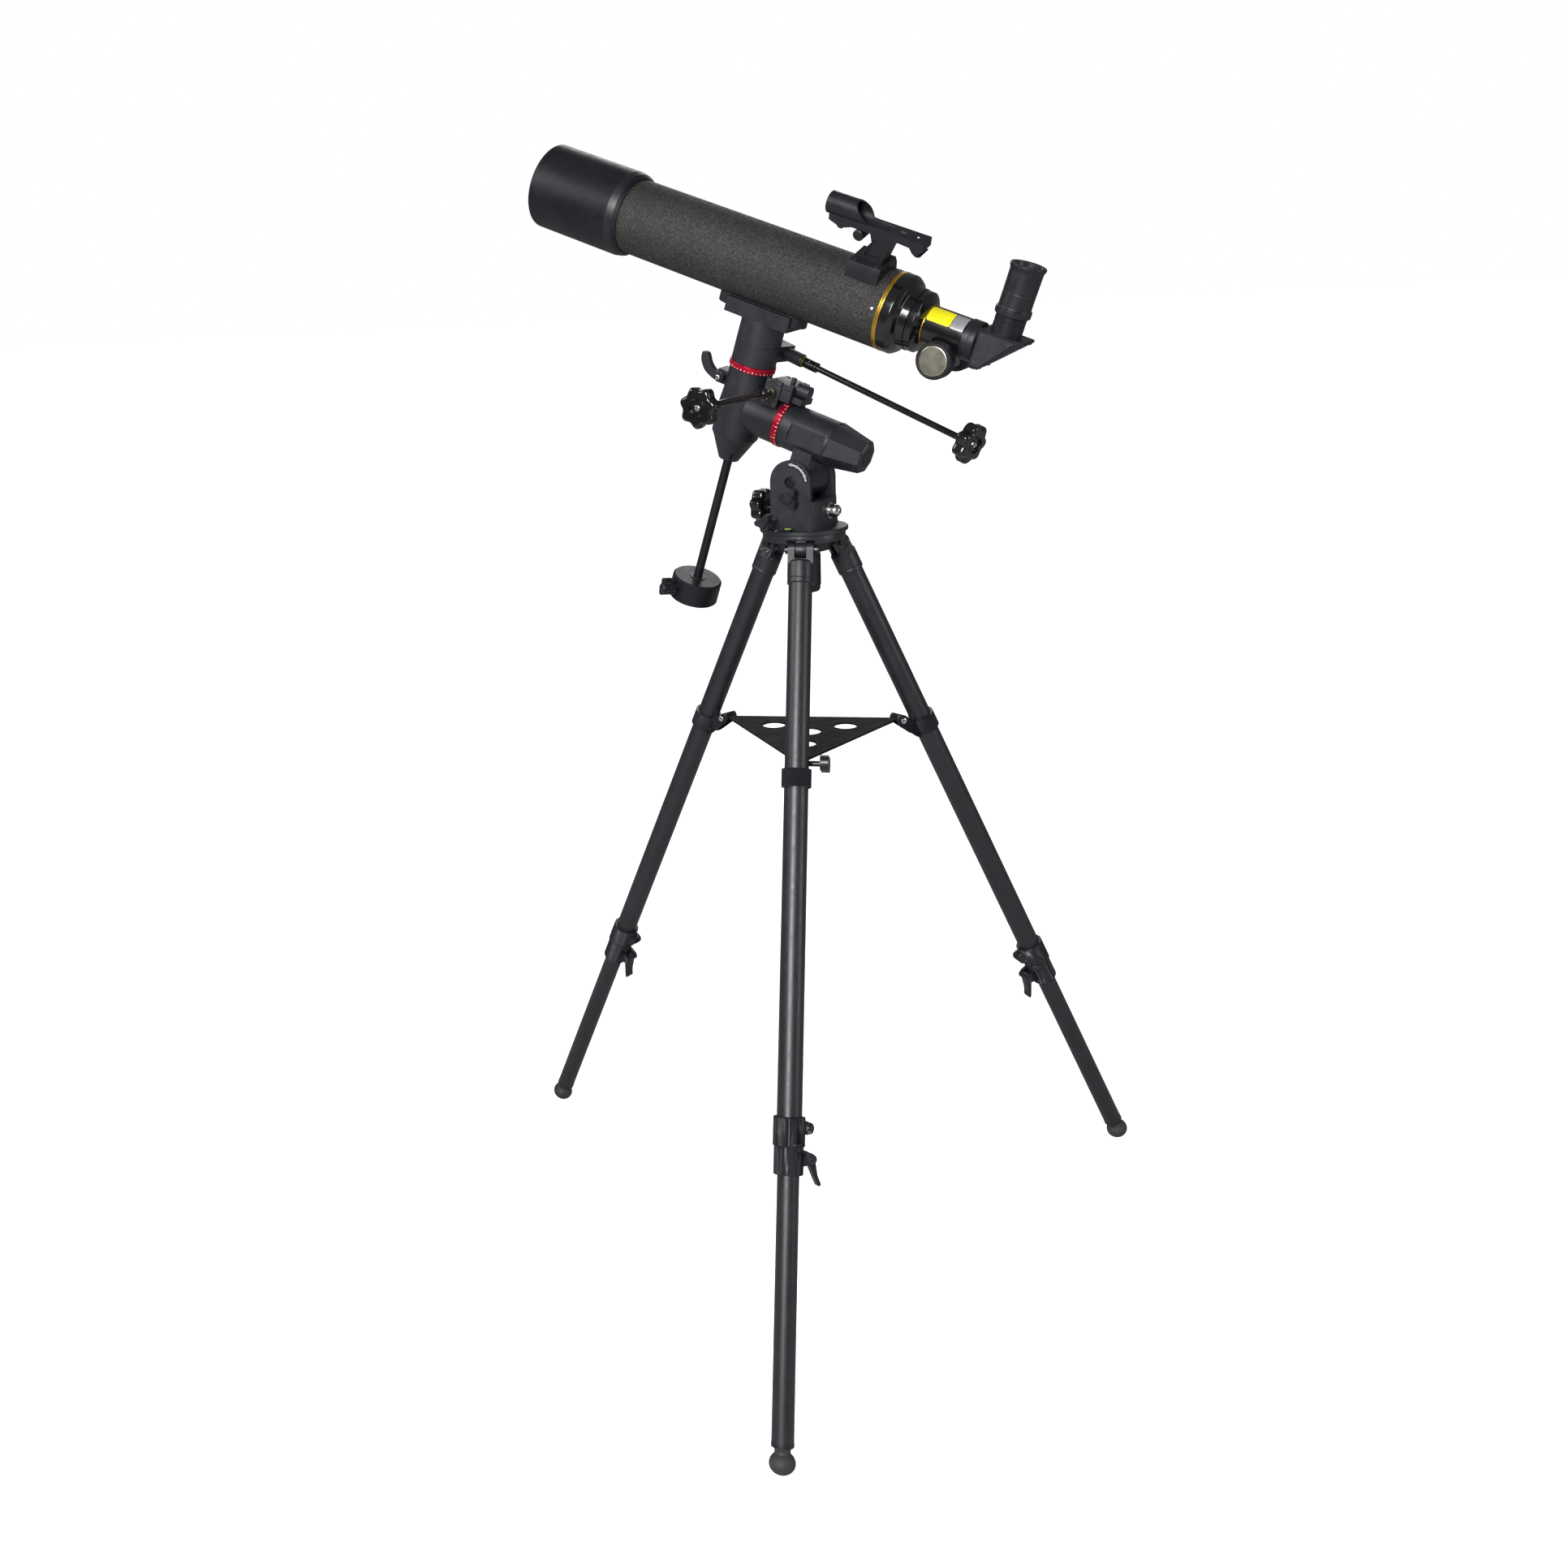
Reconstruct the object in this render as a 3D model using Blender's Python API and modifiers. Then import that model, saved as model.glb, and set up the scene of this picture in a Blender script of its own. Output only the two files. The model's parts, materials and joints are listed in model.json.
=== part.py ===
"""Refractor telescope on a small equatorial mount and a folding aluminium tripod.

Metres, +Z up. The front leg points to -Y. Each assembly is modelled in its own frame, an empty
whose axes follow the real axes of the instrument:
  azimuth frame   X points to the pole side of the mount, Z is the tripod's axis
  latitude frame  origin on the latitude bolt, X along the polar axis
  polar frame     origin where the polar and the declination axes cross
  tube frame      origin on the optical axis, X towards the sky
"""
import math

import bmesh
import bpy
from mathutils import Matrix, Vector

# ---------------------------------------------------------------- driving dimensions
GAP = 0.0003                       # clearance between pieces that touch
CENTRE_SHIFT = (0.0, 0.118406, -0.000527)   # moves the bottom centre of the bounding box to the origin

LEG_ANGLE = math.radians(25.6)     # legs from the vertical
LEG_AZIMUTHS = {"front": -90.0, "left": 150.0, "right": 30.0}
HINGE_RADIUS = 0.0438
HINGE_HEIGHT = 0.911
UPPER_R = 0.014                    # upper leg tube
UPPER_BORE = 0.0127
UPPER_END = -0.668
LOWER_R = 0.0121                   # lower leg tube
LOWER_BORE = 0.0106
LOWER_TOP = -0.420
LOWER_END = -0.9795
SPREADER_Z = -0.273
LOCK_Z = -0.677
FOOT_Z = -0.996
FOOT_R = 0.01425
LOCK_TURN = {"front": -68.0, "left": 0.0, "right": 0.0}

TRAY_HEIGHT = 0.672
TRAY_PIVOT_R = 0.128
TRAY_THICK = 0.003
TRAY_HOLE_R = 0.015

AZIMUTH_TURN = math.radians(158.9)
LATITUDE = math.radians(20.45)
PIVOT_HEIGHT = 0.990
DISC_R = 0.0532
DISC_BOTTOM = 0.9278
DISC_TOP = 0.9332
YOKE_HALF = 0.036
YOKE_INNER = 0.030
CROSSING = (0.1055, 0.0, 0.0534)   # where the polar and declination axes cross, from the pivot
HOUR_TURN = math.radians(-4.75)
POLAR_WORM_TURN = math.radians(-91.0)
WORM_TURN = math.radians(-102.0)   # declination worm, from the tube's direction

POLAR_R = 0.0274
CIRCLE_R = 0.0284
SHAFT_R = 0.0088
TUBE_AXIS = 0.1716                 # optical axis above the crossing
TUBE_R = 0.0452
TUBE_BORE = 0.0436
SHIELD_R = 0.0519
DRAW_R = 0.0182
DRAW_BORE = 0.0163
BODY_R = 0.0222
PINION_Z = -0.0262
PINION_R = 0.0056
PINION_X = -0.2285
EYE_X = -0.2845                    # axis of the eyepiece
FINDER_LEAN = math.radians(-22.0)
HOOD_HEIGHT = 0.1078

ALONG_X = (0.0, math.pi / 2, 0.0)
ALONG_Y = (-math.pi / 2, 0.0, 0.0)

FINISHES = {                       # colour, metallic, roughness
    "casting": ((0.030, 0.031, 0.034), 0.2, 0.55),
    "tube_black": ((0.016, 0.016, 0.019), 0.5, 0.42),
    "crinkle": ((0.040, 0.038, 0.036), 0.3, 0.70),
    "gloss_black": ((0.008, 0.008, 0.009), 0.1, 0.15),
    "plastic": ((0.014, 0.014, 0.015), 0.0, 0.40),
    "rubber": ((0.030, 0.031, 0.034), 0.0, 0.70),
    "red": ((0.55, 0.010, 0.040), 0.7, 0.35),
    "steel": ((0.60, 0.60, 0.60), 1.0, 0.25),
    "glass": ((0.25, 0.35, 0.45), 0.0, 0.05),
}


def clear_scene():
    for obj in list(bpy.data.objects):
        bpy.data.objects.remove(obj, do_unlink=True)


clear_scene()
PARTS = bpy.data.collections.new("refractor_telescope")
CUTTERS = bpy.data.collections.new("cutters")
bpy.context.scene.collection.children.link(PARTS)
bpy.context.scene.collection.children.link(CUTTERS)


# ---------------------------------------------------------------- helpers
def frame(name, parent, location=(0, 0, 0), rotation=(0, 0, 0)):
    empty = bpy.data.objects.new(name, None)
    CUTTERS.objects.link(empty)
    empty.empty_display_size = 0.02
    empty.parent = parent
    empty.location = location
    empty.rotation_euler = rotation
    return empty


def material(name, finish):
    colour, metallic, roughness = FINISHES[finish]
    mat = bpy.data.materials.new(name)
    mat.use_nodes = True
    shader = mat.node_tree.nodes["Principled BSDF"]
    shader.inputs["Base Color"].default_value = (*colour, 1.0)
    shader.inputs["Metallic"].default_value = metallic
    shader.inputs["Roughness"].default_value = roughness
    return mat


def place(name, mesh, parent, finish, location=(0, 0, 0), rotation=(0, 0, 0)):
    """A part when it has a finish, a hidden tool for a Boolean when it has none."""
    obj = bpy.data.objects.new(name, mesh)
    if finish:
        PARTS.objects.link(obj)
        mesh.materials.append(material(name + "_finish", finish))
    else:
        CUTTERS.objects.link(obj)
        obj.hide_render = True
        obj.display_type = "WIRE"
    obj.parent = parent
    obj.location = location
    obj.rotation_euler = rotation
    return obj


def mesh_from(bm, name):
    mesh = bpy.data.meshes.new(name)
    bm.to_mesh(mesh)
    bm.free()
    return mesh


def box(name, parent, low, high, finish=None, rotation=(0, 0, 0), pivot=(0, 0, 0)):
    """A box between two corners given in the parent's frame, turned about pivot."""
    bm = bmesh.new()
    bmesh.ops.create_cube(bm, size=1.0)
    size = [b - a for a, b in zip(low, high)]
    middle = [(a + b) / 2 - p for a, b, p in zip(low, high, pivot)]
    bmesh.ops.scale(bm, vec=size, verts=bm.verts)
    bmesh.ops.translate(bm, vec=middle, verts=bm.verts)
    return place(name, mesh_from(bm, name), parent, finish, pivot, rotation)


def rod(name, parent, radius, start, end, finish=None, sides=16, radius_end=None):
    """A cylinder or cone between two points given in the parent's frame."""
    start = Vector(start)
    axis = Vector(end) - start
    bm = bmesh.new()
    tip = radius if radius_end is None else radius_end
    bmesh.ops.create_cone(bm, cap_ends=True, segments=sides, radius1=radius, radius2=tip, depth=axis.length)
    bmesh.ops.translate(bm, vec=(0, 0, axis.length / 2), verts=bm.verts)
    mesh = mesh_from(bm, name)
    if sides > 8:
        mesh.shade_smooth()
        mesh.set_sharp_from_angle(angle=math.radians(35))
    return place(name, mesh, parent, finish, start, axis.to_track_quat("Z", "Y").to_euler())


def turned(name, parent, profile, finish=None, steps=20, location=(0, 0, 0), rotation=(0, 0, 0), ring=False):
    """A profile of (radius, height) points, top to bottom on its outer side, turned about Z."""
    mesh = bpy.data.meshes.new(name)
    points = [(radius, 0.0, height) for radius, height in profile]
    edges = [(i, i + 1) for i in range(len(points) - 1)]
    if ring:
        edges.append((len(points) - 1, 0))
    mesh.from_pydata(points, edges, [])
    obj = place(name, mesh, parent, finish, location, rotation)
    screw = obj.modifiers.new("Turn", "SCREW")
    screw.axis = "Z"
    screw.angle = 2 * math.pi
    screw.steps = steps
    screw.render_steps = steps
    screw.use_merge_vertices = True
    screw.merge_threshold = 0.00001
    screw.use_smooth_shade = False
    return obj


def tube(name, parent, outer, inner, top, bottom, finish=None, steps=20, **where):
    profile = [(outer, top), (outer, bottom), (inner, bottom), (inner, top)]
    return turned(name, parent, profile, finish, steps, ring=True, **where)


def outline_mesh(name, outlines, thickness):
    """A flat outline in XY with optional holes, thickened evenly about Z = 0."""
    curve = bpy.data.curves.new(name, "CURVE")
    curve.dimensions = "2D"
    curve.fill_mode = "BOTH"
    curve.extrude = thickness / 2
    for outline in outlines:
        spline = curve.splines.new("POLY")
        spline.points.add(len(outline) - 1)
        for point, (x, y) in zip(spline.points, outline):
            point.co = (x, y, 0.0, 1.0)
        spline.use_cyclic_u = True
    guide = bpy.data.objects.new(name + "_outline", curve)
    CUTTERS.objects.link(guide)
    graph = bpy.context.evaluated_depsgraph_get()
    mesh = bpy.data.meshes.new_from_object(guide.evaluated_get(graph))
    bpy.data.objects.remove(guide)
    bm = bmesh.new()
    bm.from_mesh(mesh)
    bmesh.ops.remove_doubles(bm, verts=bm.verts, dist=1e-6)
    bmesh.ops.recalc_face_normals(bm, faces=bm.faces)
    bm.to_mesh(mesh)
    bm.free()
    mesh.materials.clear()
    return mesh


def plate(name, parent, outlines, thickness, finish=None, location=(0, 0, 0), rotation=(0, 0, 0)):
    return place(name, outline_mesh(name, outlines, thickness), parent, finish, location, rotation)


def boolean(obj, operation, tools):
    for tool in tools:
        modifier = obj.modifiers.new(operation.title(), "BOOLEAN")
        modifier.operation = operation
        modifier.object = tool
        modifier.solver = "EXACT"
    return obj


def cut(obj, *tools):
    return boolean(obj, "DIFFERENCE", tools)


def join(obj, *tools):
    return boolean(obj, "UNION", tools)


def bevel(obj, width, segments=1, angle=30.0):
    modifier = obj.modifiers.new("Bevel", "BEVEL")
    modifier.width = width
    modifier.segments = segments
    modifier.limit_method = "ANGLE"
    modifier.angle_limit = math.radians(angle)
    return obj


def arc(cx, cy, radius, start, end, count):
    """Points on an arc, from one angle to the other in degrees, ends included."""
    angles = [math.radians(start + (end - start) * i / (count - 1)) for i in range(count)]
    return [(cx + radius * math.cos(a), cy + radius * math.sin(a)) for a in angles]


def circle(cx, cy, radius, count=16):
    return arc(cx, cy, radius, 0.0, 360.0 * (count - 1) / count, count)


def lobed(radius, lobes, depth, count):
    """A rounded star: the outline of a hand knob."""
    angles = [2 * math.pi * i / count for i in range(count)]
    radii = [radius - depth * (1 - math.cos(lobes * a)) / 2 for a in angles]
    return [(r * math.cos(a), r * math.sin(a)) for r, a in zip(radii, angles)]


# ---------------------------------------------------------------- tripod
def leg_frame(base, side):
    azimuth = math.radians(LEG_AZIMUTHS[side])
    place_at = (HINGE_RADIUS * math.cos(azimuth), HINGE_RADIUS * math.sin(azimuth), HINGE_HEIGHT)
    return frame("frame_leg_" + side, base, place_at, (0.0, -LEG_ANGLE, azimuth))


def build_hub(base):
    hub_r, hub_top, plate_bottom, hub_bottom = 0.0500, DISC_BOTTOM - GAP, 0.9180, 0.9045
    slot_half, slot_start, tongue_half = 0.0163, 0.0300, 0.0064
    hub = turned("tripod_hub", base, [
        (0.0, hub_top), (hub_r, hub_top), (hub_r, plate_bottom), (0.0340, plate_bottom),
        (0.0310, hub_bottom), (0.0, hub_bottom)], "casting", steps=24)
    for side, azimuth in LEG_AZIMUTHS.items():
        arm = frame("frame_hub_" + side, base, (0, 0, HINGE_HEIGHT), (0, 0, math.radians(azimuth)))
        slot = box("hub_slot_" + side, arm, (slot_start, -slot_half, -0.03), (0.07, slot_half, 0.0117))
        tongue = rod("hub_tongue_" + side, arm, 0.0088, (HINGE_RADIUS, -tongue_half, 0),
                     (HINGE_RADIUS, tongue_half, 0), sides=12)
        web_half = tongue_half - 0.0004
        web = box("hub_web_" + side, arm, (0.028, -web_half, -0.0050), (HINGE_RADIUS + 0.001, web_half, 0.0140))
        hole = rod("hub_hole_" + side, arm, 0.0033, (HINGE_RADIUS, -0.02, 0), (HINGE_RADIUS, 0.02, 0), sides=8)
        cut(hub, slot)
        join(hub, tongue, web)
        cut(hub, hole)
    cut(hub, rod("hub_bore", base, 0.0055, (0, 0, 0.88), (0, 0, 0.95), sides=12))


def build_centre_bolt(base):
    """The bolt that holds the mount on the hub, with its hand knob underneath."""
    turned("azimuth_centre_bolt", base, [
        (0.0, 0.9270), (0.0050, 0.9270), (0.0050, 0.9040), (0.0170, 0.9040), (0.0195, 0.9005),
        (0.0195, 0.8600), (0.0170, 0.8530), (0.0, 0.8530)], "plastic", steps=12)


def build_hinge_pin(leg, side):
    turned("hinge_pin_" + side, leg, [
        (0.0, 0.0215), (0.0040, 0.0215), (0.0052, 0.0200), (0.0052, 0.0155), (0.0030, 0.0155),
        (0.0030, -0.0155), (0.0050, -0.0155), (0.0050, -0.0190), (0.0, -0.0190)],
        "steel", steps=8, rotation=ALONG_Y)


def build_upper_leg(leg, side):
    cheek_half, sleeve_r = 0.0150, 0.0158
    upper = turned("leg_upper_" + side, leg, [
        (0.0, -0.0150), (sleeve_r - 0.002, -0.0150), (sleeve_r, -0.0175), (sleeve_r, -0.0420),
        (UPPER_R, -0.0430), (UPPER_R, UPPER_END), (UPPER_BORE, UPPER_END), (UPPER_BORE, -0.0260),
        (0.0, -0.0260)], "tube_black", steps=16)
    eye = rod("leg_eye_" + side, leg, 0.0098, (0, -cheek_half, 0), (0, cheek_half, 0), sides=16)
    neck = box("leg_neck_" + side, leg, (-0.0096, -cheek_half, -0.0190), (0.0096, cheek_half, 0.0))
    slot = box("leg_slot_" + side, leg, (-0.02, -0.0070, -0.0135), (0.02, 0.0070, 0.02))
    hole = rod("leg_hole_" + side, leg, 0.0033, (0, -0.02, 0), (0, 0.02, 0), sides=8)
    join(upper, eye, neck)
    cut(upper, slot, hole)


def tray_pivot(_side):
    """The tray's pivot in a leg's frame."""
    reach = TRAY_PIVOT_R - HINGE_RADIUS
    drop = TRAY_HEIGHT - HINGE_HEIGHT
    x = reach * math.cos(LEG_ANGLE) + drop * math.sin(LEG_ANGLE)
    z = -reach * math.sin(LEG_ANGLE) + drop * math.cos(LEG_ANGLE)
    return x, z


def build_spreader_collar(leg, side):
    """A clamp ring with two cheeks that reach in to the tray."""
    ring_r, cheek_in, cheek_out = 0.0173, 0.0072, 0.0112
    pivot_x, pivot_z = tray_pivot(side)
    top, bottom = SPREADER_Z + 0.0105, SPREADER_Z - 0.0105
    collar = tube("spreader_collar_" + side, leg, ring_r, UPPER_R - 0.002, top, bottom, "plastic", steps=16)
    boss = arc(pivot_x, pivot_z, 0.0080, 100.0, 215.0, 8)
    shape = [(-0.0145, top + 0.004), *boss, (-0.0205, bottom + 0.002), (-0.0145, bottom - 0.003)]
    for name, low in (("near", cheek_in), ("far", -cheek_out)):
        middle = low + (cheek_out - cheek_in) / 2
        cheek = plate("cheek_%s_%s" % (name, side), leg, [shape], cheek_out - cheek_in,
                      location=(0, middle, 0), rotation=(math.pi / 2, 0, 0))
        join(collar, cheek)
    bore = rod("collar_bore_" + side, leg, UPPER_R + GAP, (0, 0, -0.22), (0, 0, -0.32), sides=16)
    cut(collar, bore)
    if side == "front":
        cut(collar, rod("collar_pin_hole", leg, 0.0028, (pivot_x, -0.02, pivot_z), (pivot_x, 0.02, pivot_z), sides=8))
    else:
        join(collar, rod("collar_pin_" + side, leg, 0.0022, (pivot_x, -0.0135, pivot_z),
                         (pivot_x, 0.0135, pivot_z), sides=8))


def build_lock(leg, side):
    """The clamp at the end of the upper tube, and its flip lever."""
    turn = frame("frame_lock_" + side, leg, (0, 0, LOCK_Z), (0, 0, math.radians(LOCK_TURN[side])))
    upper_r, lower_r = 0.0178, 0.0164
    collar = turned("lock_collar_" + side, turn, [
        (upper_r, 0.031), (upper_r, 0.0), (lower_r, 0.0), (lower_r, -0.0300),
        (LOWER_R + GAP, -0.0300), (LOWER_R + GAP, 0.0085), (UPPER_R + GAP, 0.0085),
        (UPPER_R + GAP, 0.031)], "plastic", steps=16, ring=True)
    ear = [(-0.0110, -0.004), (-0.0230, -0.006), *arc(-0.0235, -0.0125, 0.0055, 120.0, 250.0, 6),
           (-0.0110, -0.021)]
    lug = [(-0.0165, 0.027), (-0.0245, 0.025), (-0.0265, 0.020), (-0.0245, 0.014), (-0.0165, 0.012)]
    for name, y in (("near", 0.0085), ("far", -0.0085)):
        join(collar, plate("ear_%s_%s" % (name, side), turn, [ear], 0.0040, location=(0, y, 0),
                           rotation=(math.pi / 2, 0, 0)))
    join(collar, plate("lug_" + side, turn, [lug], 0.016, rotation=(math.pi / 2, 0, 0)))
    bore_a = rod("lock_bore_a_" + side, turn, LOWER_R + GAP, (0, 0, -0.05), (0, 0, 0.01), sides=16)
    bore_b = rod("lock_bore_b_" + side, turn, UPPER_R + GAP, (0, 0, 0.0085), (0, 0, 0.05), sides=16)
    cut(collar, bore_a, bore_b)
    pivot = frame("frame_lever_" + side, turn, (-0.0240, 0, -0.0125))
    handle = [(0.0040, 0.0035), *arc(0.0, 0.0, 0.0050, 60.0, 200.0, 6), (-0.0075, -0.0170),
              (-0.0120, -0.0270), (-0.0085, -0.0290), (-0.0030, -0.0180), (0.0030, -0.0045)]
    plate("lock_lever_" + side, pivot, [handle], 0.0122, "plastic", rotation=(math.pi / 2, 0, 0))


def build_lower_leg(leg, side):
    tube("leg_lower_" + side, leg, LOWER_R, LOWER_BORE, LOWER_TOP, LOWER_END, "tube_black", steps=16)
    ball = [(FOOT_R * math.cos(a), FOOT_Z + 0.0118 * math.sin(a))
            for a in [math.radians(58.0 - 148.0 * i / 6) for i in range(7)]]
    ball[-1] = (0.0, ball[-1][1])
    turned("foot_" + side, leg, [
        (0.0, LOWER_END + 0.0160), (0.0090, LOWER_END + 0.0160), (LOWER_BORE - GAP, LOWER_END + 0.0140),
        (LOWER_BORE - GAP, LOWER_END - GAP), *ball], "rubber", steps=16)


def build_tray(base):
    """A flat three-cornered tray, hinged on the front collar."""
    edge_turn = math.tan(math.radians(30.0))
    tongue_half, shoulder = 0.0042, 0.1205
    corner = TRAY_PIVOT_R
    outline = []
    for azimuth in (-90.0, 30.0, 150.0):
        turn = Matrix.Rotation(math.radians(azimuth), 2)
        half = (corner - shoulder) * edge_turn
        for r, w in ((shoulder, -half), (shoulder + 0.0005, -tongue_half), (corner, -tongue_half),
                     (corner, tongue_half), (shoulder + 0.0005, tongue_half), (shoulder, half)):
            outline.append(tuple(turn @ Vector((r, w))))
    holes = [circle(0.0, 0.0, 0.017)]
    for azimuth in LEG_AZIMUTHS.values():
        a = math.radians(azimuth)
        holes.append(circle(0.052 * math.cos(a), 0.052 * math.sin(a), TRAY_HOLE_R))
    tray = plate("accessory_tray", base, [outline, *holes], TRAY_THICK, "plastic", location=(0, 0, TRAY_HEIGHT))
    for side, azimuth in LEG_AZIMUTHS.items():
        arm = frame("frame_tray_" + side, base, (0, 0, TRAY_HEIGHT), (0, 0, math.radians(azimuth)))
        eye = rod("tray_eye_" + side, arm, 0.0048, (TRAY_PIVOT_R, -0.0060, 0), (TRAY_PIVOT_R, 0.0060, 0), sides=12)
        join(tray, eye)
        cut(tray, rod("tray_hole_" + side, arm, 0.0028, (TRAY_PIVOT_R, -0.02, 0), (TRAY_PIVOT_R, 0.02, 0), sides=8))


def build_wing_bolt(leg):
    """The bolt on the front collar that the tray turns on, with its oval grip."""
    pivot_x, pivot_z = tray_pivot("front")
    hinge = frame("frame_tray_bolt", leg, (pivot_x, 0, pivot_z))
    bolt = turned("tray_wing_bolt", hinge, [
        (0.0, 0.0290), (0.0034, 0.0290), (0.0034, 0.0116), (0.0025, 0.0116), (0.0025, -0.0135),
        (0.0, -0.0135)], "plastic", steps=12, rotation=ALONG_Y)
    wing = lobed(0.0185, 2, 0.0110, 16)
    join(bolt, plate("wing_grip", hinge, [wing], 0.0100, location=(0, 0.0305, 0), rotation=ALONG_Y))


# ---------------------------------------------------------------- mount: azimuth and latitude
def build_yoke(azimuth):
    rise = PIVOT_HEIGHT - DISC_TOP
    low = DISC_TOP - 0.001
    yoke = turned("yoke", azimuth, [
        (0.0, DISC_TOP), (DISC_R - 0.001, DISC_TOP), (DISC_R, DISC_TOP - 0.001), (DISC_R, DISC_BOTTOM + 0.001),
        (DISC_R - 0.001, DISC_BOTTOM), (0.0, DISC_BOTTOM)], "casting", steps=24)
    cheek = [(-0.0285, low - PIVOT_HEIGHT), (0.0275, low - PIVOT_HEIGHT), (0.0262, -rise * 0.45),
             *arc(0.0, 0.0, 0.0262, 0.0, 180.0, 9), (-0.0262, -rise * 0.45)]
    wide = YOKE_HALF - YOKE_INNER
    for name, sign in (("near", 1), ("far", -1)):
        join(yoke, plate("yoke_cheek_" + name, azimuth, [cheek], wide,
                         location=(0, sign * (YOKE_INNER + wide / 2), PIVOT_HEIGHT), rotation=(math.pi / 2, 0, 0)))
    rear = plate("yoke_rear", azimuth, [[(-0.034, -0.020), (-0.034, 0.020), (-0.0275, 0.0345),
                                         (-0.0200, 0.0345), (-0.0200, -0.0345), (-0.0275, -0.0345)]],
                 0.0350, location=(0, 0, DISC_TOP + 0.0165))
    front = box("yoke_front", azimuth, (0.0180, -0.0345, low), (0.0260, 0.0345, 0.9680))
    join(yoke, rear, front)
    bore = rod("yoke_bore", azimuth, 0.0060, (0, -0.06, PIVOT_HEIGHT), (0, 0.06, PIVOT_HEIGHT), sides=12)
    thread_front = rod("yoke_thread_front", azimuth, 0.0043, (0.010, 0, 0.956), (0.050, 0, 0.956), sides=12)
    thread_rear = rod("yoke_thread_rear", azimuth, 0.0043, (-0.050, 0, 0.953), (-0.010, 0, 0.953), sides=12)
    thread_lock = rod("yoke_thread_lock", azimuth, 0.0033, (0.0205, 0.020, 0.9450), (0.0205, 0.050, 0.9450), sides=8)
    thread_wing = rod("yoke_thread_wing", azimuth, 0.0033, (-0.0030, 0.024, 0.9725), (-0.0030, 0.050, 0.9725), sides=8)
    cut(yoke, bore, thread_front, thread_rear, thread_lock, thread_wing)


def three_wing_knob(name, parent, radius, thick, shank_r, shank_to, finish, location, rotation):
    """A three-winged grip on a threaded shank; the shank runs to -Z."""
    knob = turned(name, parent, [
        (0.0, thick), (radius * 0.45, thick), (radius * 0.5, thick - 0.001), (radius * 0.5, -0.002),
        (shank_r, -0.002), (shank_r, -shank_to), (0.0, -shank_to)], finish, steps=12,
        location=location, rotation=rotation)
    wings = plate(name + "_wings", parent, [lobed(radius, 3, radius * 0.55, 18)], thick * 0.7,
                  location=location, rotation=rotation)
    wings.location = Vector(location) + wings.rotation_euler.to_matrix() @ Vector((0, 0, thick * 0.45))
    return join(knob, wings)


def hand_knob(name, parent, radius, thick, base_profile, finish, location, rotation):
    """A lobed hand knob fused to what turns with it; base_profile runs on below the knob."""
    knob = turned(name, parent, [(0.0, thick), (radius * 0.42, thick), (radius * 0.46, thick * 0.8),
                                 (radius * 0.46, 0.001), *base_profile], finish, steps=12,
                  location=location, rotation=rotation)
    grip = plate(name + "_grip", parent, [lobed(radius, 7, radius * 0.16, 28)], thick * 0.85,
                 location=location, rotation=rotation)
    grip.location = Vector(location) + grip.rotation_euler.to_matrix() @ Vector((0, 0, thick * 0.47))
    return join(knob, grip)


def build_azimuth_parts(azimuth):
    build_yoke(azimuth)
    three_wing_knob("azimuth_lock_screw", azimuth, 0.0110, 0.0180, 0.0029, 0.0300, "plastic",
                    (0.0205, 0.0545, 0.9450), ALONG_Y)
    three_wing_knob("latitude_lock_screw", azimuth, 0.0130, 0.0120, 0.0029, 0.0085, "plastic",
                    (-0.0030, 0.0395, 0.9725), ALONG_Y)
    hand_knob("latitude_hand_screw", azimuth, 0.0215, 0.0160,
              [(0.0085, 0.001), (0.0085, -0.010), (0.0040, -0.011), (0.0040, -0.029), (0.0, -0.029)],
              "gloss_black", (0.0500, 0, 0.956), ALONG_X)
    turned("latitude_rear_bolt", azimuth, [
        (0.0, 0.0140), (0.0045, 0.0130), (0.0070, 0.0100), (0.0078, 0.0060), (0.0078, 0.0012),
        (0.0100, 0.0010), (0.0100, 0.0), (0.0040, 0.0), (0.0040, -0.0140), (0.0, -0.0140)],
        "steel", steps=12, location=(-0.0345, 0, 0.953), rotation=(0.0, -math.pi / 2, 0.0))
    turned("bubble_level", azimuth, [
        (0.0, 0.0032), (0.0040, 0.0030), (0.0052, 0.0020), (0.0052, 0.0), (0.0, 0.0)], "glass", steps=12,
        location=(-0.0005, 0.0445, DISC_TOP + GAP))
    rod("latitude_pivot_bolt", azimuth, 0.0056, (0, -0.0345, PIVOT_HEIGHT), (0, 0.0345, PIVOT_HEIGHT),
        "casting", sides=12)


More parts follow.
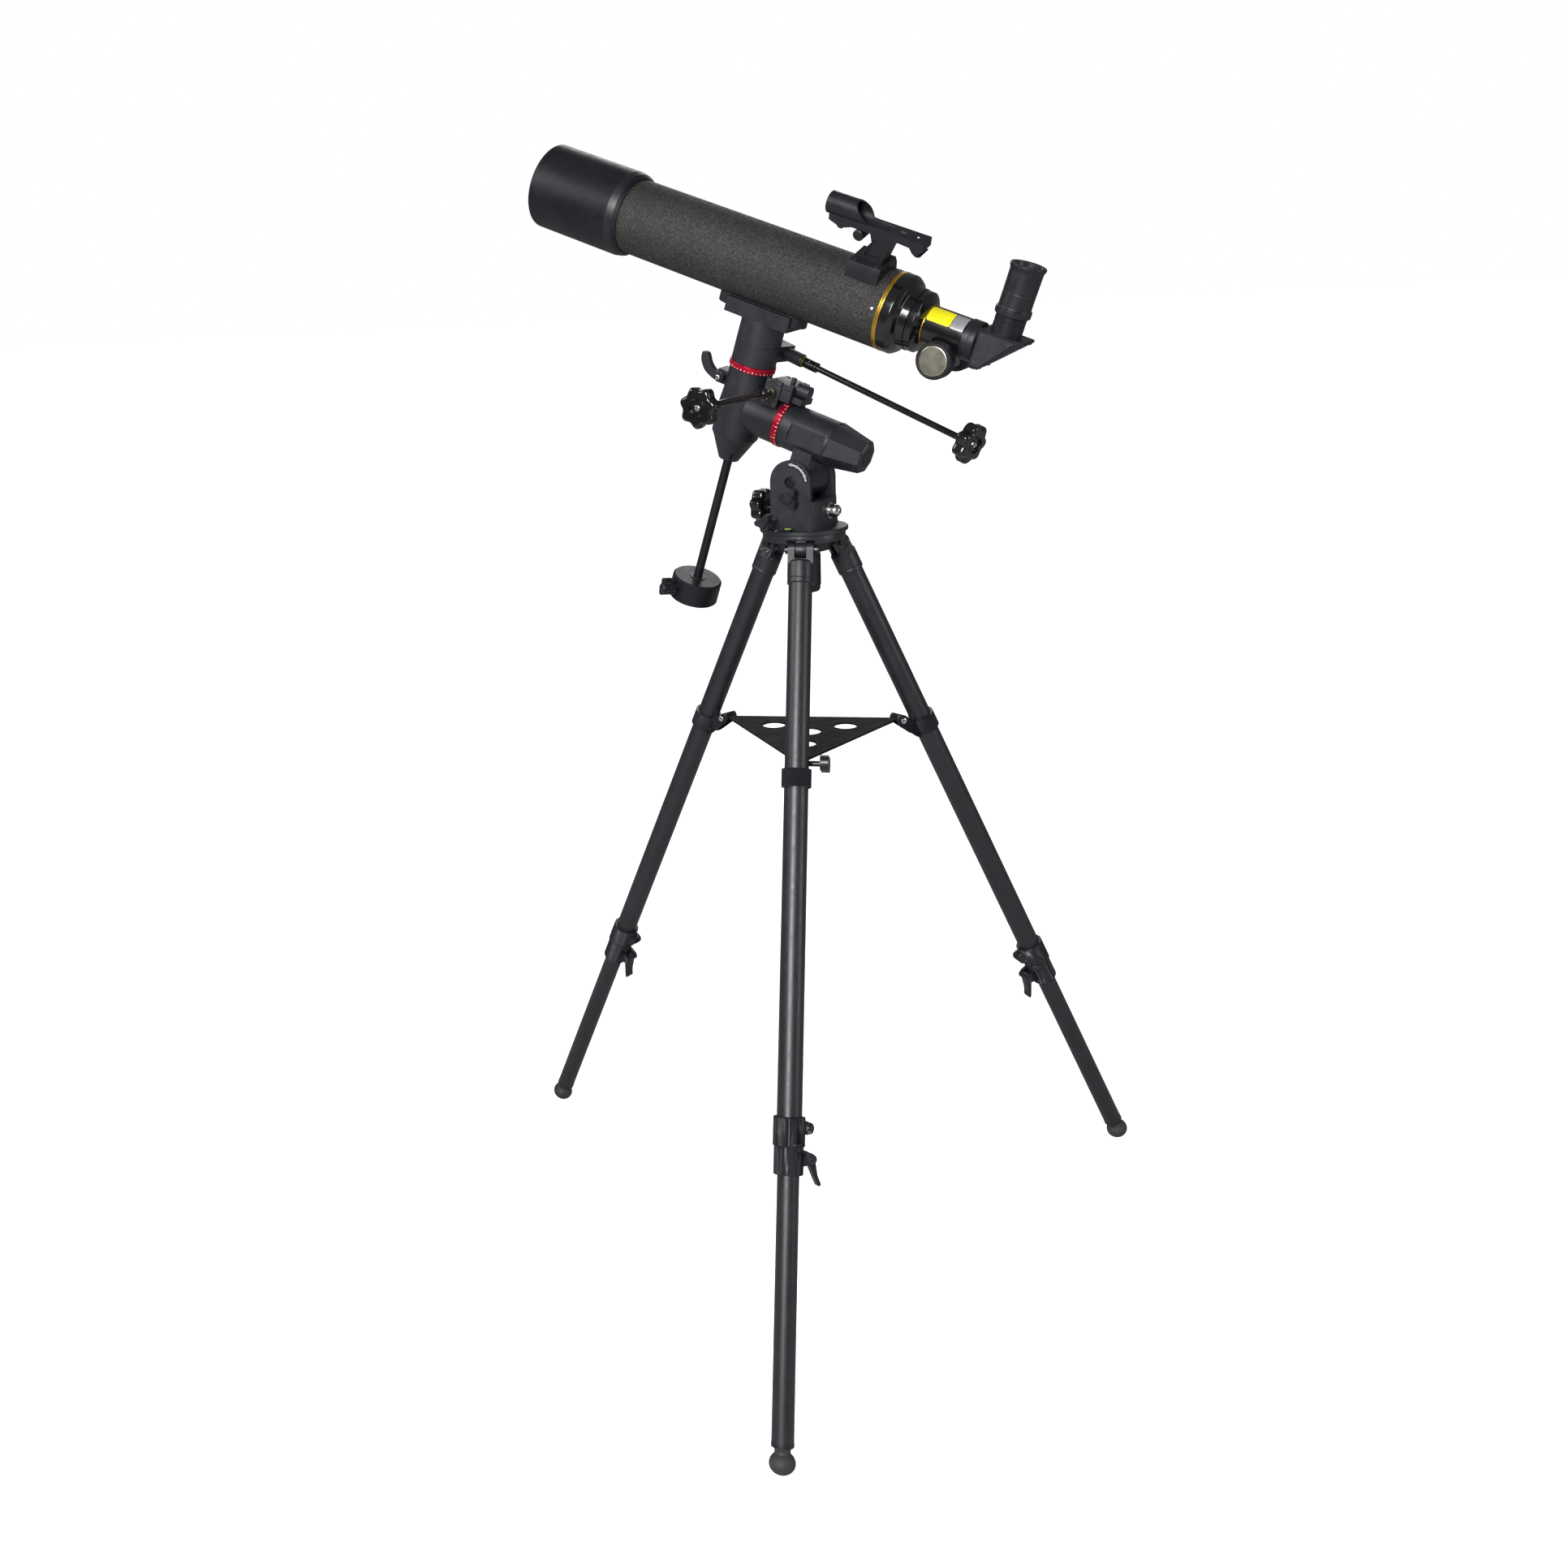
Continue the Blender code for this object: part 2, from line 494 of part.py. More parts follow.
# ---------------------------------------------------------------- mount: polar axis
def build_polar_housing(polar):
    """Origin at the axis crossing: the latitude pivot lies behind and below it."""
    front, taper, end = -0.0665, -0.1300, -0.1740
    pivot = (-CROSSING[0], 0.0, -CROSSING[2])
    housing = turned("polar_housing", polar, [
        (0.0, front), (POLAR_R, front), (POLAR_R, taper - 0.001), (0.0, taper - 0.001)],
        "casting", steps=24, rotation=ALONG_X)
    snout = rod("polar_snout", polar, POLAR_R * 1.035, (taper, 0, 0), (end, 0, 0), sides=8,
                radius_end=0.0205)
    snout.rotation_euler.rotate_axis("Z", math.radians(22.5))
    join(housing, snout)
    for name, sign in (("near", 1), ("far", -1)):
        low, high = sorted((sign * 0.0250, sign * 0.0400))
        cut(housing, box("polar_flat_" + name, polar, (-0.1270, low, -0.03), (-0.0800, high, 0.03)))
    neck = box("polar_neck", polar, (pivot[0] - 0.0125, -0.0270, pivot[2]), (pivot[0] + 0.0125, 0.0270, -0.0150))
    barrel = rod("polar_barrel", polar, 0.0220, (pivot[0], -0.0296, pivot[2]), (pivot[0], 0.0296, pivot[2]), sides=20)
    join(housing, neck, barrel)
    bore = rod("polar_bore", polar, SHAFT_R + GAP, (-0.1550, 0, 0), (-0.0500, 0, 0), sides=16)
    hole = rod("polar_pivot_hole", polar, 0.0060, (pivot[0], -0.05, pivot[2]), (pivot[0], 0.05, pivot[2]), sides=12)
    cut(housing, bore, hole)


def build_polar_parts(polar):
    build_polar_housing(polar)
    tube("polar_setting_circle", polar, CIRCLE_R, 0.0150, -0.0575, -0.0662, "red", steps=24, rotation=ALONG_X)
    block = box("polar_worm_block", polar, (-0.0680, -0.0220, 0.0300), (-0.0360, 0.0235, 0.0500), "casting")
    flange = box("polar_block_flange", polar, (-0.0800, -0.0150, 0.0305), (-0.0600, 0.0150, 0.0380))
    face = box("polar_block_face", polar, (-0.0545, 0.0225, 0.0190), (-0.0335, 0.0262, 0.0515))
    post = rod("polar_block_post", polar, 0.0060, (-0.0735, 0, 0.0278), (-0.0735, 0, 0.0340), sides=12)
    lock = rod("polar_block_cap", polar, 0.0082, (-0.0670, 0.0060, 0.0465), (-0.0840, 0.0060, 0.0465), sides=12)
    bolt = rod("polar_block_bolt", polar, 0.0035, (-0.0560, 0.0, 0.0490), (-0.0560, 0.0, 0.0560), sides=8)
    worm = frame("frame_polar_worm", polar, (-0.0440, 0.0, 0.0365), (POLAR_WORM_TURN, 0, 0))
    bush = rod("polar_worm_bush", worm, 0.0070, (0, 0, 0.0230), (0, 0, 0.0300), sides=12)
    join(block, flange, face, post, lock, bolt, bush)
    cut(block, rod("polar_worm_bore", worm, 0.0046, (0, 0, -0.0100), (0, 0, 0.05), sides=12))
    return worm


def build_slow_control(name, worm, reach, knob_r, sleeve_start, sleeve_end):
    """A worm shaft along +Z with its coupling sleeve, rod and hand knob."""
    hand_knob(name, worm, knob_r, 0.0160, [
        (0.0060, 0.001), (0.0060, -0.006), (0.0037, -0.008), (0.0037, sleeve_end - reach),
        (0.0062, sleeve_end - reach), (0.0062, sleeve_start - reach), (0.0042, sleeve_start - reach),
        (0.0042, 0.0060 - reach), (0.0, 0.0060 - reach)], "gloss_black", (0, 0, reach), (0, 0, 0))


# ---------------------------------------------------------------- mount: declination axis
def build_declination_housing(dec):
    """The casting that carries the declination axis and turns on the polar shaft."""
    neck_top = 0.0488
    housing = turned("declination_housing", dec, [
        (0.0268, neck_top), (0.0268, 0.0250), (0.0290, 0.0020), (0.0290, -0.0360), (0.0255, -0.0420),
        (0.0128, -0.0690), (SHAFT_R + GAP, -0.0690), (SHAFT_R + GAP, neck_top)],
        "casting", steps=24, ring=True)
    stub = rod("declination_stub", dec, POLAR_R, (-0.0571, 0, 0), (-0.0150, 0, 0), sides=24)
    bore = rod("declination_bore", dec, SHAFT_R + GAP, (0, 0, -0.08), (0, 0, 0.06), sides=24)
    shaft = rod("polar_shaft", dec, SHAFT_R, (-0.1500, 0, 0), (-0.0500, 0, 0), sides=16)
    ear = box("declination_ear", dec, (0.0200, -0.0095, 0.0200), (0.0380, 0.0105, 0.0370))
    join(housing, stub, ear)
    cut(housing, bore)
    join(housing, shaft)


def build_declination_parts(dec):
    build_declination_housing(dec)
    tube("declination_setting_circle", dec, CIRCLE_R, 0.0150, 0.0567, 0.0492, "red", steps=24)
    lower = turned("declination_worm_housing", dec, [
        (0.0, 0.0770), (0.0160, 0.0770), (0.0160, 0.0820), (0.0272, 0.0820), (0.0272, 0.0571),
        (SHAFT_R, 0.0571), (SHAFT_R, -0.0560), (0.0, -0.0560)], "casting", steps=24)
    worm = frame("frame_declination_worm", dec, (-0.0073, -0.0347, 0.0720), (math.pi / 2, 0.0, WORM_TURN))
    boss = box("declination_boss", worm, (-0.0180, -0.0100, -0.0200), (0.0110, 0.0095, 0.0200))
    port = rod("declination_port", worm, 0.0080, (0, 0, 0.0190), (0, 0, 0.0440), sides=12)
    join(lower, boss, port)
    cut(lower, rod("declination_worm_bore", worm, 0.0046, (0, 0, 0.0020), (0, 0, 0.05), sides=12))
    return worm


def build_clamp_lever(dec):
    """The declination clutch lever, beside an ear of the housing."""
    pivot = frame("frame_clamp_lever", dec, (0.0315, 0.0108, 0.0290), ALONG_Y)
    lever = turned("declination_clamp_lever", pivot, [
        (0.0, 0.0100), (0.0040, 0.0100), (0.0050, 0.0085), (0.0062, 0.0075), (0.0062, 0.0), (0.0, 0.0)],
        "casting", steps=12)
    path = [(-0.0010, -0.0050), (0.0090, -0.0060), (0.0170, -0.0120), (0.0240, -0.0230), (0.0295, -0.0225),
            (0.0280, -0.0130), (0.0200, -0.0030), (0.0110, 0.0020), (0.0010, 0.0050)]
    join(lever, plate("clamp_handle", pivot, [path], 0.0055, location=(0, 0, 0.0040)))


def build_counterweight(dec):
    rod_end, weight_top, weight_bottom = -0.2635, -0.2360, -0.2665
    turned("counterweight_shaft", dec, [
        (0.0, -0.0600), (0.0056, -0.0600), (0.0056, rod_end + 0.001), (0.0046, rod_end), (0.0, rod_end)],
        "tube_black", steps=12)
    bore = 0.0060
    weight = turned("counterweight", dec, [
        (0.0300, weight_top), (0.0320, weight_top - 0.002), (0.0320, weight_bottom + 0.002),
        (0.0300, weight_bottom), (bore, weight_bottom), (bore, weight_top)], "casting", steps=24, ring=True)
    angle = math.radians(62.0)
    middle = (weight_top + weight_bottom) / 2
    spoke = frame("frame_weight_screw", dec, (0, 0, middle), (math.pi / 2, 0.0, angle + math.pi / 2))
    cut(weight, rod("weight_thread", spoke, 0.0034, (0, 0, 0.004), (0, 0, 0.05), sides=8))
    three_wing_knob("counterweight_lock_screw", spoke, 0.0120, 0.0150, 0.0030, 0.0280, "plastic",
                    (0, 0, 0.0350), (0, 0, 0))


def build_saddle(dec):
    half_long, half_wide, floor, top = 0.0430, 0.0250, 0.1160, 0.1285
    saddle = turned("tube_saddle", dec, [
        (0.0, 0.1120), (0.0268, 0.1120), (0.0272, 0.0823), (0.0150, 0.0823), (0.0150, 0.0776), (0.0, 0.0776)],
        "casting", steps=24)
    block = box("saddle_block", dec, (-half_long, -half_wide, 0.1105), (half_long, half_wide, top))
    channel = box("saddle_channel", dec, (-0.06, -0.0180, floor), (0.06, 0.0180, 0.15))
    thread = rod("saddle_thread", dec, 0.0028, (-0.0250, -0.05, 0.1215), (-0.0250, -0.01, 0.1215), sides=8)
    join(saddle, block)
    cut(saddle, channel, thread)
    three_wing_knob("saddle_clamp_screw", dec, 0.0105, 0.0120, 0.0025, 0.0090, "plastic",
                    (-0.0250, -0.0275, 0.1215), (math.pi / 2, 0, 0))


# ---------------------------------------------------------------- optical tube
def build_foot_bar(ota):
    """The dovetail bar under the tube; its top is hollowed to the tube."""
    low, high = 0.1163 - TUBE_AXIS, -0.0360
    ends = [*arc(0.0460, 0.0, 0.0177, -90.0, 90.0, 7), *arc(-0.0360, 0.0, 0.0177, 90.0, 270.0, 7)]
    bar = plate("tube_foot_bar", ota, [ends], high - low, "plastic", location=(0.0, 0.0, (low + high) / 2))
    cut(bar, rod("foot_bar_hollow", ota, TUBE_R + GAP, (-0.15, 0, 0), (0.15, 0, 0), sides=32))


def build_tube(ota):
    tube("optical_tube", ota, TUBE_R, TUBE_BORE, 0.2060, -0.1520, "crinkle", steps=32, rotation=ALONG_X)
    front = 0.3330
    turned("dew_shield", ota, [
        (SHIELD_R, front), (SHIELD_R, 0.2150), (0.0500, 0.2075), (0.0470, 0.2025), (TUBE_R + GAP, 0.2025), (TUBE_R + GAP, 0.2145),
        (0.0504, 0.2150), (0.0504, front)], "gloss_black", steps=32, rotation=ALONG_X, ring=True)
    turned("objective_cell", ota, [
        (0.0495, 0.2300), (0.0495, 0.2158), (TUBE_BORE - GAP, 0.2158), (TUBE_BORE - GAP, 0.1950),
        (0.0385, 0.1950), (0.0385, 0.2150), (0.0402, 0.2150), (0.0402, 0.2300)], "plastic", steps=24, rotation=ALONG_X, ring=True)
    bulge = [(0.0398 * math.cos(a), 0.2255 + 0.0035 * math.sin(a))
             for a in [math.radians(90.0 - 30.0 * i) for i in range(4)]]
    dish = [(r, 0.2185 - (z - 0.2255) * 0.4) for r, z in reversed(bulge)]
    turned("objective_lens", ota, [(0.0, bulge[0][1]), *bulge[1:], *dish[:-1], (0.0, dish[-1][1])], "glass",
           steps=24, rotation=ALONG_X)


def build_rear_cell(ota):
    turned("rear_cell", ota, [
        (TUBE_BORE - GAP, -0.1380), (TUBE_BORE - GAP, -0.1526), (0.0452, -0.1526), (0.0452, -0.1660),
        (0.0415, -0.1715), (0.0356, -0.1755), (0.0352, -0.1835), (0.0235, -0.1835), (0.0235, -0.1640),
        (0.0410, -0.1560), (0.0410, -0.1380)], "gloss_black", steps=24,
        rotation=ALONG_X, ring=True)


def build_focuser(ota):
    flange_r, spigot_r = 0.0345, 0.0231
    body_end = -0.2455
    body = turned("focuser_body", ota, [
        (0.0, -0.1660), (spigot_r, -0.1660), (spigot_r, -0.1838), (flange_r, -0.1838), (flange_r, -0.1925), (0.0285, -0.1965),
        (BODY_R, -0.1985), (BODY_R, body_end), (0.0, body_end)], "gloss_black", steps=24, rotation=ALONG_X)
    house_low, house_high = (-0.2425, -0.0125, -0.0345), (-0.2085, 0.0125, -0.0120)
    join(body, bevel(box("pinion_house", ota, house_low, house_high), 0.003))
    bore = rod("draw_bore", ota, DRAW_R + GAP, (-0.30, 0, 0), (-0.15, 0, 0), sides=24)
    groove = box("rack_groove", ota, (-0.30, -0.0036, -0.0202), (-0.15, 0.0036, -0.0100))
    nest = rod("pinion_nest", ota, PINION_R + 0.0006, (PINION_X, -0.0060, PINION_Z), (PINION_X, 0.0060, PINION_Z), sides=12)
    axle = rod("pinion_axle_bore", ota, 0.0018, (PINION_X, -0.03, PINION_Z), (PINION_X, 0.03, PINION_Z), sides=8)
    cut(body, bore, groove, nest, axle)

    draw = turned("drawtube", ota, [
        (DRAW_R, -0.1050), (DRAW_R, -0.2458), (0.0232, -0.2458), (0.0232, -0.2590), (0.0222, -0.2602),
        (DRAW_BORE, -0.2602), (DRAW_BORE, -0.1050)], "plastic", steps=24,
        rotation=ALONG_X, ring=True)
    join(draw, box("focus_rack", ota, (-0.2400, -0.0030, -0.0196), (-0.1150, 0.0030, -0.0174)))

    knob_in, knob_out, knob_r = 0.0235, 0.0390, 0.0205
    turned("focus_knobs", ota, [
        (0.0, knob_out), (knob_r - 0.003, knob_out), (knob_r, knob_out - 0.002), (knob_r, knob_in + 0.001),
        (knob_r - 0.001, knob_in), (0.0015, knob_in), (0.0015, 0.0055), (PINION_R, 0.0055), (PINION_R, -0.0055),
        (0.0015, -0.0055), (0.0015, -knob_in), (knob_r - 0.001, -knob_in), (knob_r, -knob_in - 0.001),
        (knob_r, -knob_out + 0.002), (knob_r - 0.003, -knob_out), (0.0, -knob_out)],
        "plastic", steps=20, location=(PINION_X, 0, PINION_Z), rotation=ALONG_Y)


def build_diagonal(ota):
    """A mirror diagonal: nosepiece, wedge-shaped housing and eyepiece holder."""
    face, roof, floor, half = -0.2605, 0.0195, -0.0245, 0.0180
    mirror = -0.2930
    wedge = [(face, roof), (face, floor), (mirror - floor, floor), (mirror - roof, roof)]
    body = plate("diagonal", ota, [wedge], 2 * half, "plastic", rotation=(math.pi / 2, 0, 0))
    nose = rod("diagonal_nose", ota, DRAW_BORE - GAP, (face - 0.001, 0, 0), (-0.2300, 0, 0), sides=20)
    holder = rod("diagonal_holder", ota, 0.0170, (EYE_X, 0, roof - 0.001), (EYE_X, 0, 0.0400), sides=20)
    join(body, nose, holder)
    path = rod("light_path", ota, 0.0130, (-0.2780, 0, 0), (-0.2200, 0, 0), sides=12)
    well = rod("eyepiece_well", ota, 0.0152, (EYE_X, 0, 0.0070), (EYE_X, 0, 0.0500), sides=20)
    fold = rod("light_fold", ota, 0.0110, (EYE_X + 0.0005, 0, -0.0010), (EYE_X + 0.0005, 0, 0.0100), sides=12)

    cut(body, path, well, fold)


def build_eyepiece(ota):
    turned("eyepiece", ota, [
        (0.0, 0.0910), (0.0130, 0.0910), (0.0150, 0.0955), (0.0185, 0.0955), (0.0198, 0.0948),
        (0.0198, 0.0925), (0.0182, 0.0895), (0.0180, 0.0490), (0.0198, 0.0480), (0.0198, 0.0412),
        (0.0188, 0.0403), (0.0149, 0.0403), (0.0149, 0.0150), (0.0, 0.0150)], "plastic", steps=20,
        location=(EYE_X, 0, 0))


def build_finder(ota):
    """A red-dot finder: shoe on the tube, pedestal with its bar, and hood. It leans off the top of the tube."""
    lean = frame("frame_finder", ota, (0, 0, 0), (FINDER_LEAN, 0, 0))
    half = [(0.0242, 0.0300), (0.0220, 0.0485), (0.0175, 0.0570)]
    section = [(-y, z) for y, z in half] + [(y, z) for y, z in reversed(half)]
    shoe = plate("finder_shoe", lean, [section], 0.0405, "plastic", location=(-0.1192, 0, 0),
                 rotation=(math.pi / 2, 0, math.pi / 2))
    cut(shoe, rod("shoe_hollow", lean, TUBE_R + GAP, (-0.2, 0, 0), (0, 0, 0), sides=32))

    side = [(-0.0660, 0.1000), (-0.0660, 0.0920), (-0.0750, 0.0885), (-0.0870, 0.0885), (-0.0950, 0.0915),
            (-0.1185, 0.0915), (-0.1210, 0.0820), (-0.1050, 0.0600), (-0.1050, 0.0574), (-0.1360, 0.0574),
            (-0.1360, 0.0600), (-0.1420, 0.0790), (-0.1460, 0.0880), (-0.1520, 0.0915), (-0.1660, 0.0905),
            (-0.1700, 0.0850), (-0.1790, 0.0845), (-0.1820, 0.0880), (-0.1820, 0.1000)]
    body = plate("finder_body", lean, [side], 0.0195, "plastic", rotation=(math.pi / 2, 0, 0))
    hood = rod("finder_hood", lean, 0.0122, (-0.0620, 0, HOOD_HEIGHT), (-0.1150, 0, HOOD_HEIGHT), sides=20)
    bore = rod("finder_bore", lean, 0.0104, (-0.0500, 0, HOOD_HEIGHT), (-0.1400, 0, HOOD_HEIGHT), sides=20)
    slope = [(-0.0880, 0.1240), (-0.1120, 0.1004), (-0.1500, 0.1004), (-0.1500, 0.1240)]
    scoop = plate("finder_scoop", lean, [slope], 0.06, rotation=(math.pi / 2, 0, 0))
    join(body, hood)
    cut(body, bore, scoop)
    hinge = frame("frame_finder_knob", lean, (-0.1040, 0, 0.0845))
    turned("finder_knob", hinge, [
        (0.0, 0.0110), (0.0055, 0.0110), (0.0065, 0.0095), (0.0065, -0.0095), (0.0055, -0.0110), (0.0, -0.0110)],
        "plastic", steps=12, rotation=ALONG_Y)


def build_all():
    base = frame("frame_base", None, CENTRE_SHIFT)
    build_hub(base)
    build_centre_bolt(base)
    legs = {side: leg_frame(base, side) for side in LEG_AZIMUTHS}
    for side, leg in legs.items():
        build_hinge_pin(leg, side)
        build_upper_leg(leg, side)
        build_spreader_collar(leg, side)
        build_lock(leg, side)
        build_lower_leg(leg, side)
    build_tray(base)
    build_wing_bolt(legs["front"])

    azimuth = frame("frame_azimuth", base, (0, 0, 0), (0, 0, AZIMUTH_TURN))
    build_azimuth_parts(azimuth)
    latitude = frame("frame_latitude", azimuth, (0, 0, PIVOT_HEIGHT), (0, -LATITUDE, 0))
    polar = frame("frame_polar", latitude, CROSSING)
    polar_worm = build_polar_parts(polar)
    build_slow_control("polar_slow_control", polar_worm, 0.188, 0.0235, 0.0310, 0.0550)

    dec = frame("frame_declination", polar, (0, 0, 0), (HOUR_TURN, 0, 0))
    worm = build_declination_parts(dec)
    build_slow_control("declination_slow_control", worm, 0.286, 0.0235, 0.0450, 0.0680)
    build_clamp_lever(dec)
    build_counterweight(dec)
    build_saddle(dec)

    ota = frame("frame_tube", dec, (0, 0, TUBE_AXIS))
    build_foot_bar(ota)
    build_tube(ota)
    build_rear_cell(ota)
    build_focuser(ota)
    build_diagonal(ota)
    build_eyepiece(ota)
    build_finder(ota)


build_all()
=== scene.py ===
"""Refractor telescope on a small equatorial mount and a folding aluminium tripod: the visual model.

Metres, +Z up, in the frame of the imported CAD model. Every assembly is modelled in its own axes,
which follow the real axes of the instrument, and each finished piece rides on its CAD body.
"""
import json
import math

import bmesh
import bpy
from mathutils import Euler, Matrix, Vector

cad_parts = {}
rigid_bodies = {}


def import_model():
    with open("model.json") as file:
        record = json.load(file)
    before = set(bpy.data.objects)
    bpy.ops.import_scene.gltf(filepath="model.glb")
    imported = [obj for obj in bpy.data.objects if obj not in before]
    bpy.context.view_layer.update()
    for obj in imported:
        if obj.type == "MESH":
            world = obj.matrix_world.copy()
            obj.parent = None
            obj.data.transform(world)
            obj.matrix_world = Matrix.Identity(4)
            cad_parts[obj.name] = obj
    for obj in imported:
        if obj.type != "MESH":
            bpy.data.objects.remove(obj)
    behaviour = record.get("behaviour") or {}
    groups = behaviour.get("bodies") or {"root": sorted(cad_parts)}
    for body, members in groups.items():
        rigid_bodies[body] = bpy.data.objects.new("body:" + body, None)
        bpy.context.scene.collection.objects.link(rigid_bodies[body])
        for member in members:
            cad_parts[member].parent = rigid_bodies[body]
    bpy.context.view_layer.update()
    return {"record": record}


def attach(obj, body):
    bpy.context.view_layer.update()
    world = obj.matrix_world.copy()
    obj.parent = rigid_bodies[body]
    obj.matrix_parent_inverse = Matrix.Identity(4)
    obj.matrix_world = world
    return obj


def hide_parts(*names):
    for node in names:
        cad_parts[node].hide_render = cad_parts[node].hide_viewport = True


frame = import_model()
BODY_OF = {node: body for body, nodes in frame["record"]["behaviour"]["bodies"].items() for node in nodes}

# ---------------------------------------------------------------- driving dimensions, as in the CAD
GAP = 0.0003
CENTRE_SHIFT = (0.0, 0.118406, -0.000527)

LEG_ANGLE = math.radians(25.6)
LEG_AZIMUTHS = {"front": -90.0, "left": 150.0, "right": 30.0}
HINGE_RADIUS = 0.0438
HINGE_HEIGHT = 0.911
UPPER_R = 0.014
UPPER_BORE = 0.0127
UPPER_END = -0.668
LOWER_R = 0.0121
LOWER_BORE = 0.0106
LOWER_TOP = -0.420
LOWER_END = -0.9795
SPREADER_Z = -0.273
LOCK_Z = -0.677
FOOT_Z = -0.996
FOOT_R = 0.01425
LOCK_TURN = {"front": -68.0, "left": 0.0, "right": 0.0}

TRAY_HEIGHT = 0.672
TRAY_PIVOT_R = 0.128
TRAY_THICK = 0.003
TRAY_HOLE_R = 0.015

AZIMUTH_TURN = math.radians(158.9)
LATITUDE = math.radians(20.45)
PIVOT_HEIGHT = 0.990
DISC_R = 0.0532
DISC_BOTTOM = 0.9278
DISC_TOP = 0.9332
YOKE_HALF = 0.036
YOKE_INNER = 0.030
CROSSING = (0.1055, 0.0, 0.0534)
HOUR_TURN = math.radians(-4.75)
POLAR_WORM_TURN = math.radians(-91.0)
WORM_TURN = math.radians(-102.0)

POLAR_R = 0.0274
CIRCLE_R = 0.0284
SHAFT_R = 0.0088
TUBE_AXIS = 0.1716
TUBE_R = 0.0452
TUBE_BORE = 0.0436
SHIELD_R = 0.0519
DRAW_R = 0.0182
DRAW_BORE = 0.0163
BODY_R = 0.0222
PINION_Z = -0.0262
PINION_R = 0.0056
PINION_X = -0.2285
EYE_X = -0.2845
FINDER_LEAN = math.radians(-22.0)
HOOD_HEIGHT = 0.1078
DIAL_NUMBER = 0.0024

ALONG_X = (0.0, math.pi / 2, 0.0)
ALONG_Y = (-math.pi / 2, 0.0, 0.0)
SIDE_ON = (math.pi / 2, 0.0, 0.0)

WORK = bpy.data.collections.new("work")
MODEL = bpy.data.collections.new("telescope_model")
bpy.context.scene.collection.children.link(WORK)
bpy.context.scene.collection.children.link(MODEL)
PIECES = []
ROUND_PIECES = ("lock_collar", "spreader_collar", "tripod_hub")


# ---------------------------------------------------------------- materials
class Nodes:
    """A material's node tree with short calls for the nodes used here."""

    def __init__(self, name):
        self.material = bpy.data.materials.new(name)
        self.material.use_nodes = True
        self.tree = self.material.node_tree
        self.shader = self.tree.nodes["Principled BSDF"]
        self.coordinates = self.add("ShaderNodeTexCoord").outputs["Object"]

    def add(self, kind, **values):
        node = self.tree.nodes.new(kind)
        for key, value in values.items():
            setattr(node, key, value)
        return node

    def link(self, source, target):
        self.tree.links.new(source, target)

    def noise(self, scale, detail=3.0, roughness=0.5, stretch=None):
        node = self.add("ShaderNodeTexNoise")
        node.inputs["Scale"].default_value = scale
        node.inputs["Detail"].default_value = detail
        node.inputs["Roughness"].default_value = roughness
        source = self.coordinates
        if stretch:
            mapping = self.add("ShaderNodeMapping")
            mapping.inputs["Scale"].default_value = stretch
            self.link(source, mapping.inputs["Vector"])
            source = mapping.outputs["Vector"]
        self.link(source, node.inputs["Vector"])
        return node.outputs["Fac"]

    def span(self, source, low, high, to_low=0.0, to_high=1.0):
        node = self.add("ShaderNodeMapRange")
        for key, value in (("From Min", low), ("From Max", high), ("To Min", to_low), ("To Max", to_high)):
            node.inputs[key].default_value = value
        self.link(source, node.inputs["Value"])
        return node.outputs["Result"]

    def mix(self, factor, first, second):
        node = self.add("ShaderNodeMix", data_type="RGBA")
        self.link(factor, node.inputs["Factor"])
        for socket, value in ((node.inputs["A"], first), (node.inputs["B"], second)):
            if isinstance(value, tuple):
                socket.default_value = (*value, 1.0)
            else:
                self.link(value, socket)
        return node.outputs["Result"]

    def bump(self, source, strength, distance):
        node = self.add("ShaderNodeBump")
        node.inputs["Strength"].default_value = strength
        node.inputs["Distance"].default_value = distance
        self.link(source, node.inputs["Height"])
        self.link(node.outputs["Normal"], self.shader.inputs["Normal"])


def surface(name, base, tint, rough, metallic=0.0, specular=0.4, grain=1500.0, relief=0.15, depth=0.0002,
            scuff=0.05, coat=0.0, stretch=None):
    """A finish with slow colour drift, fine grain in the relief, varied gloss and light scuffs."""
    nodes = Nodes(name)
    drift = nodes.span(nodes.noise(30.0, 4.0), 0.35, 0.65)
    worn = nodes.span(nodes.noise(140.0, 6.0, 0.65), 0.60, 0.74, 0.0, scuff)
    lighter = tuple(min(1.0, 0.06 + 1.25 * channel) for channel in base)
    colour = nodes.mix(worn, nodes.mix(drift, base, tint), lighter)
    nodes.link(colour, nodes.shader.inputs["Base Color"])
    gloss = nodes.span(nodes.noise(90.0, 5.0, 0.6), 0.3, 0.7, rough[0], rough[1])
    nodes.link(gloss, nodes.shader.inputs["Roughness"])
    nodes.shader.inputs["Metallic"].default_value = metallic
    nodes.shader.inputs["Specular IOR Level"].default_value = specular
    nodes.shader.inputs["Coat Weight"].default_value = coat
    nodes.shader.inputs["Coat Roughness"].default_value = 0.08
    nodes.bump(nodes.noise(grain, 3.0, 0.55, stretch), relief, depth)
    return nodes.material


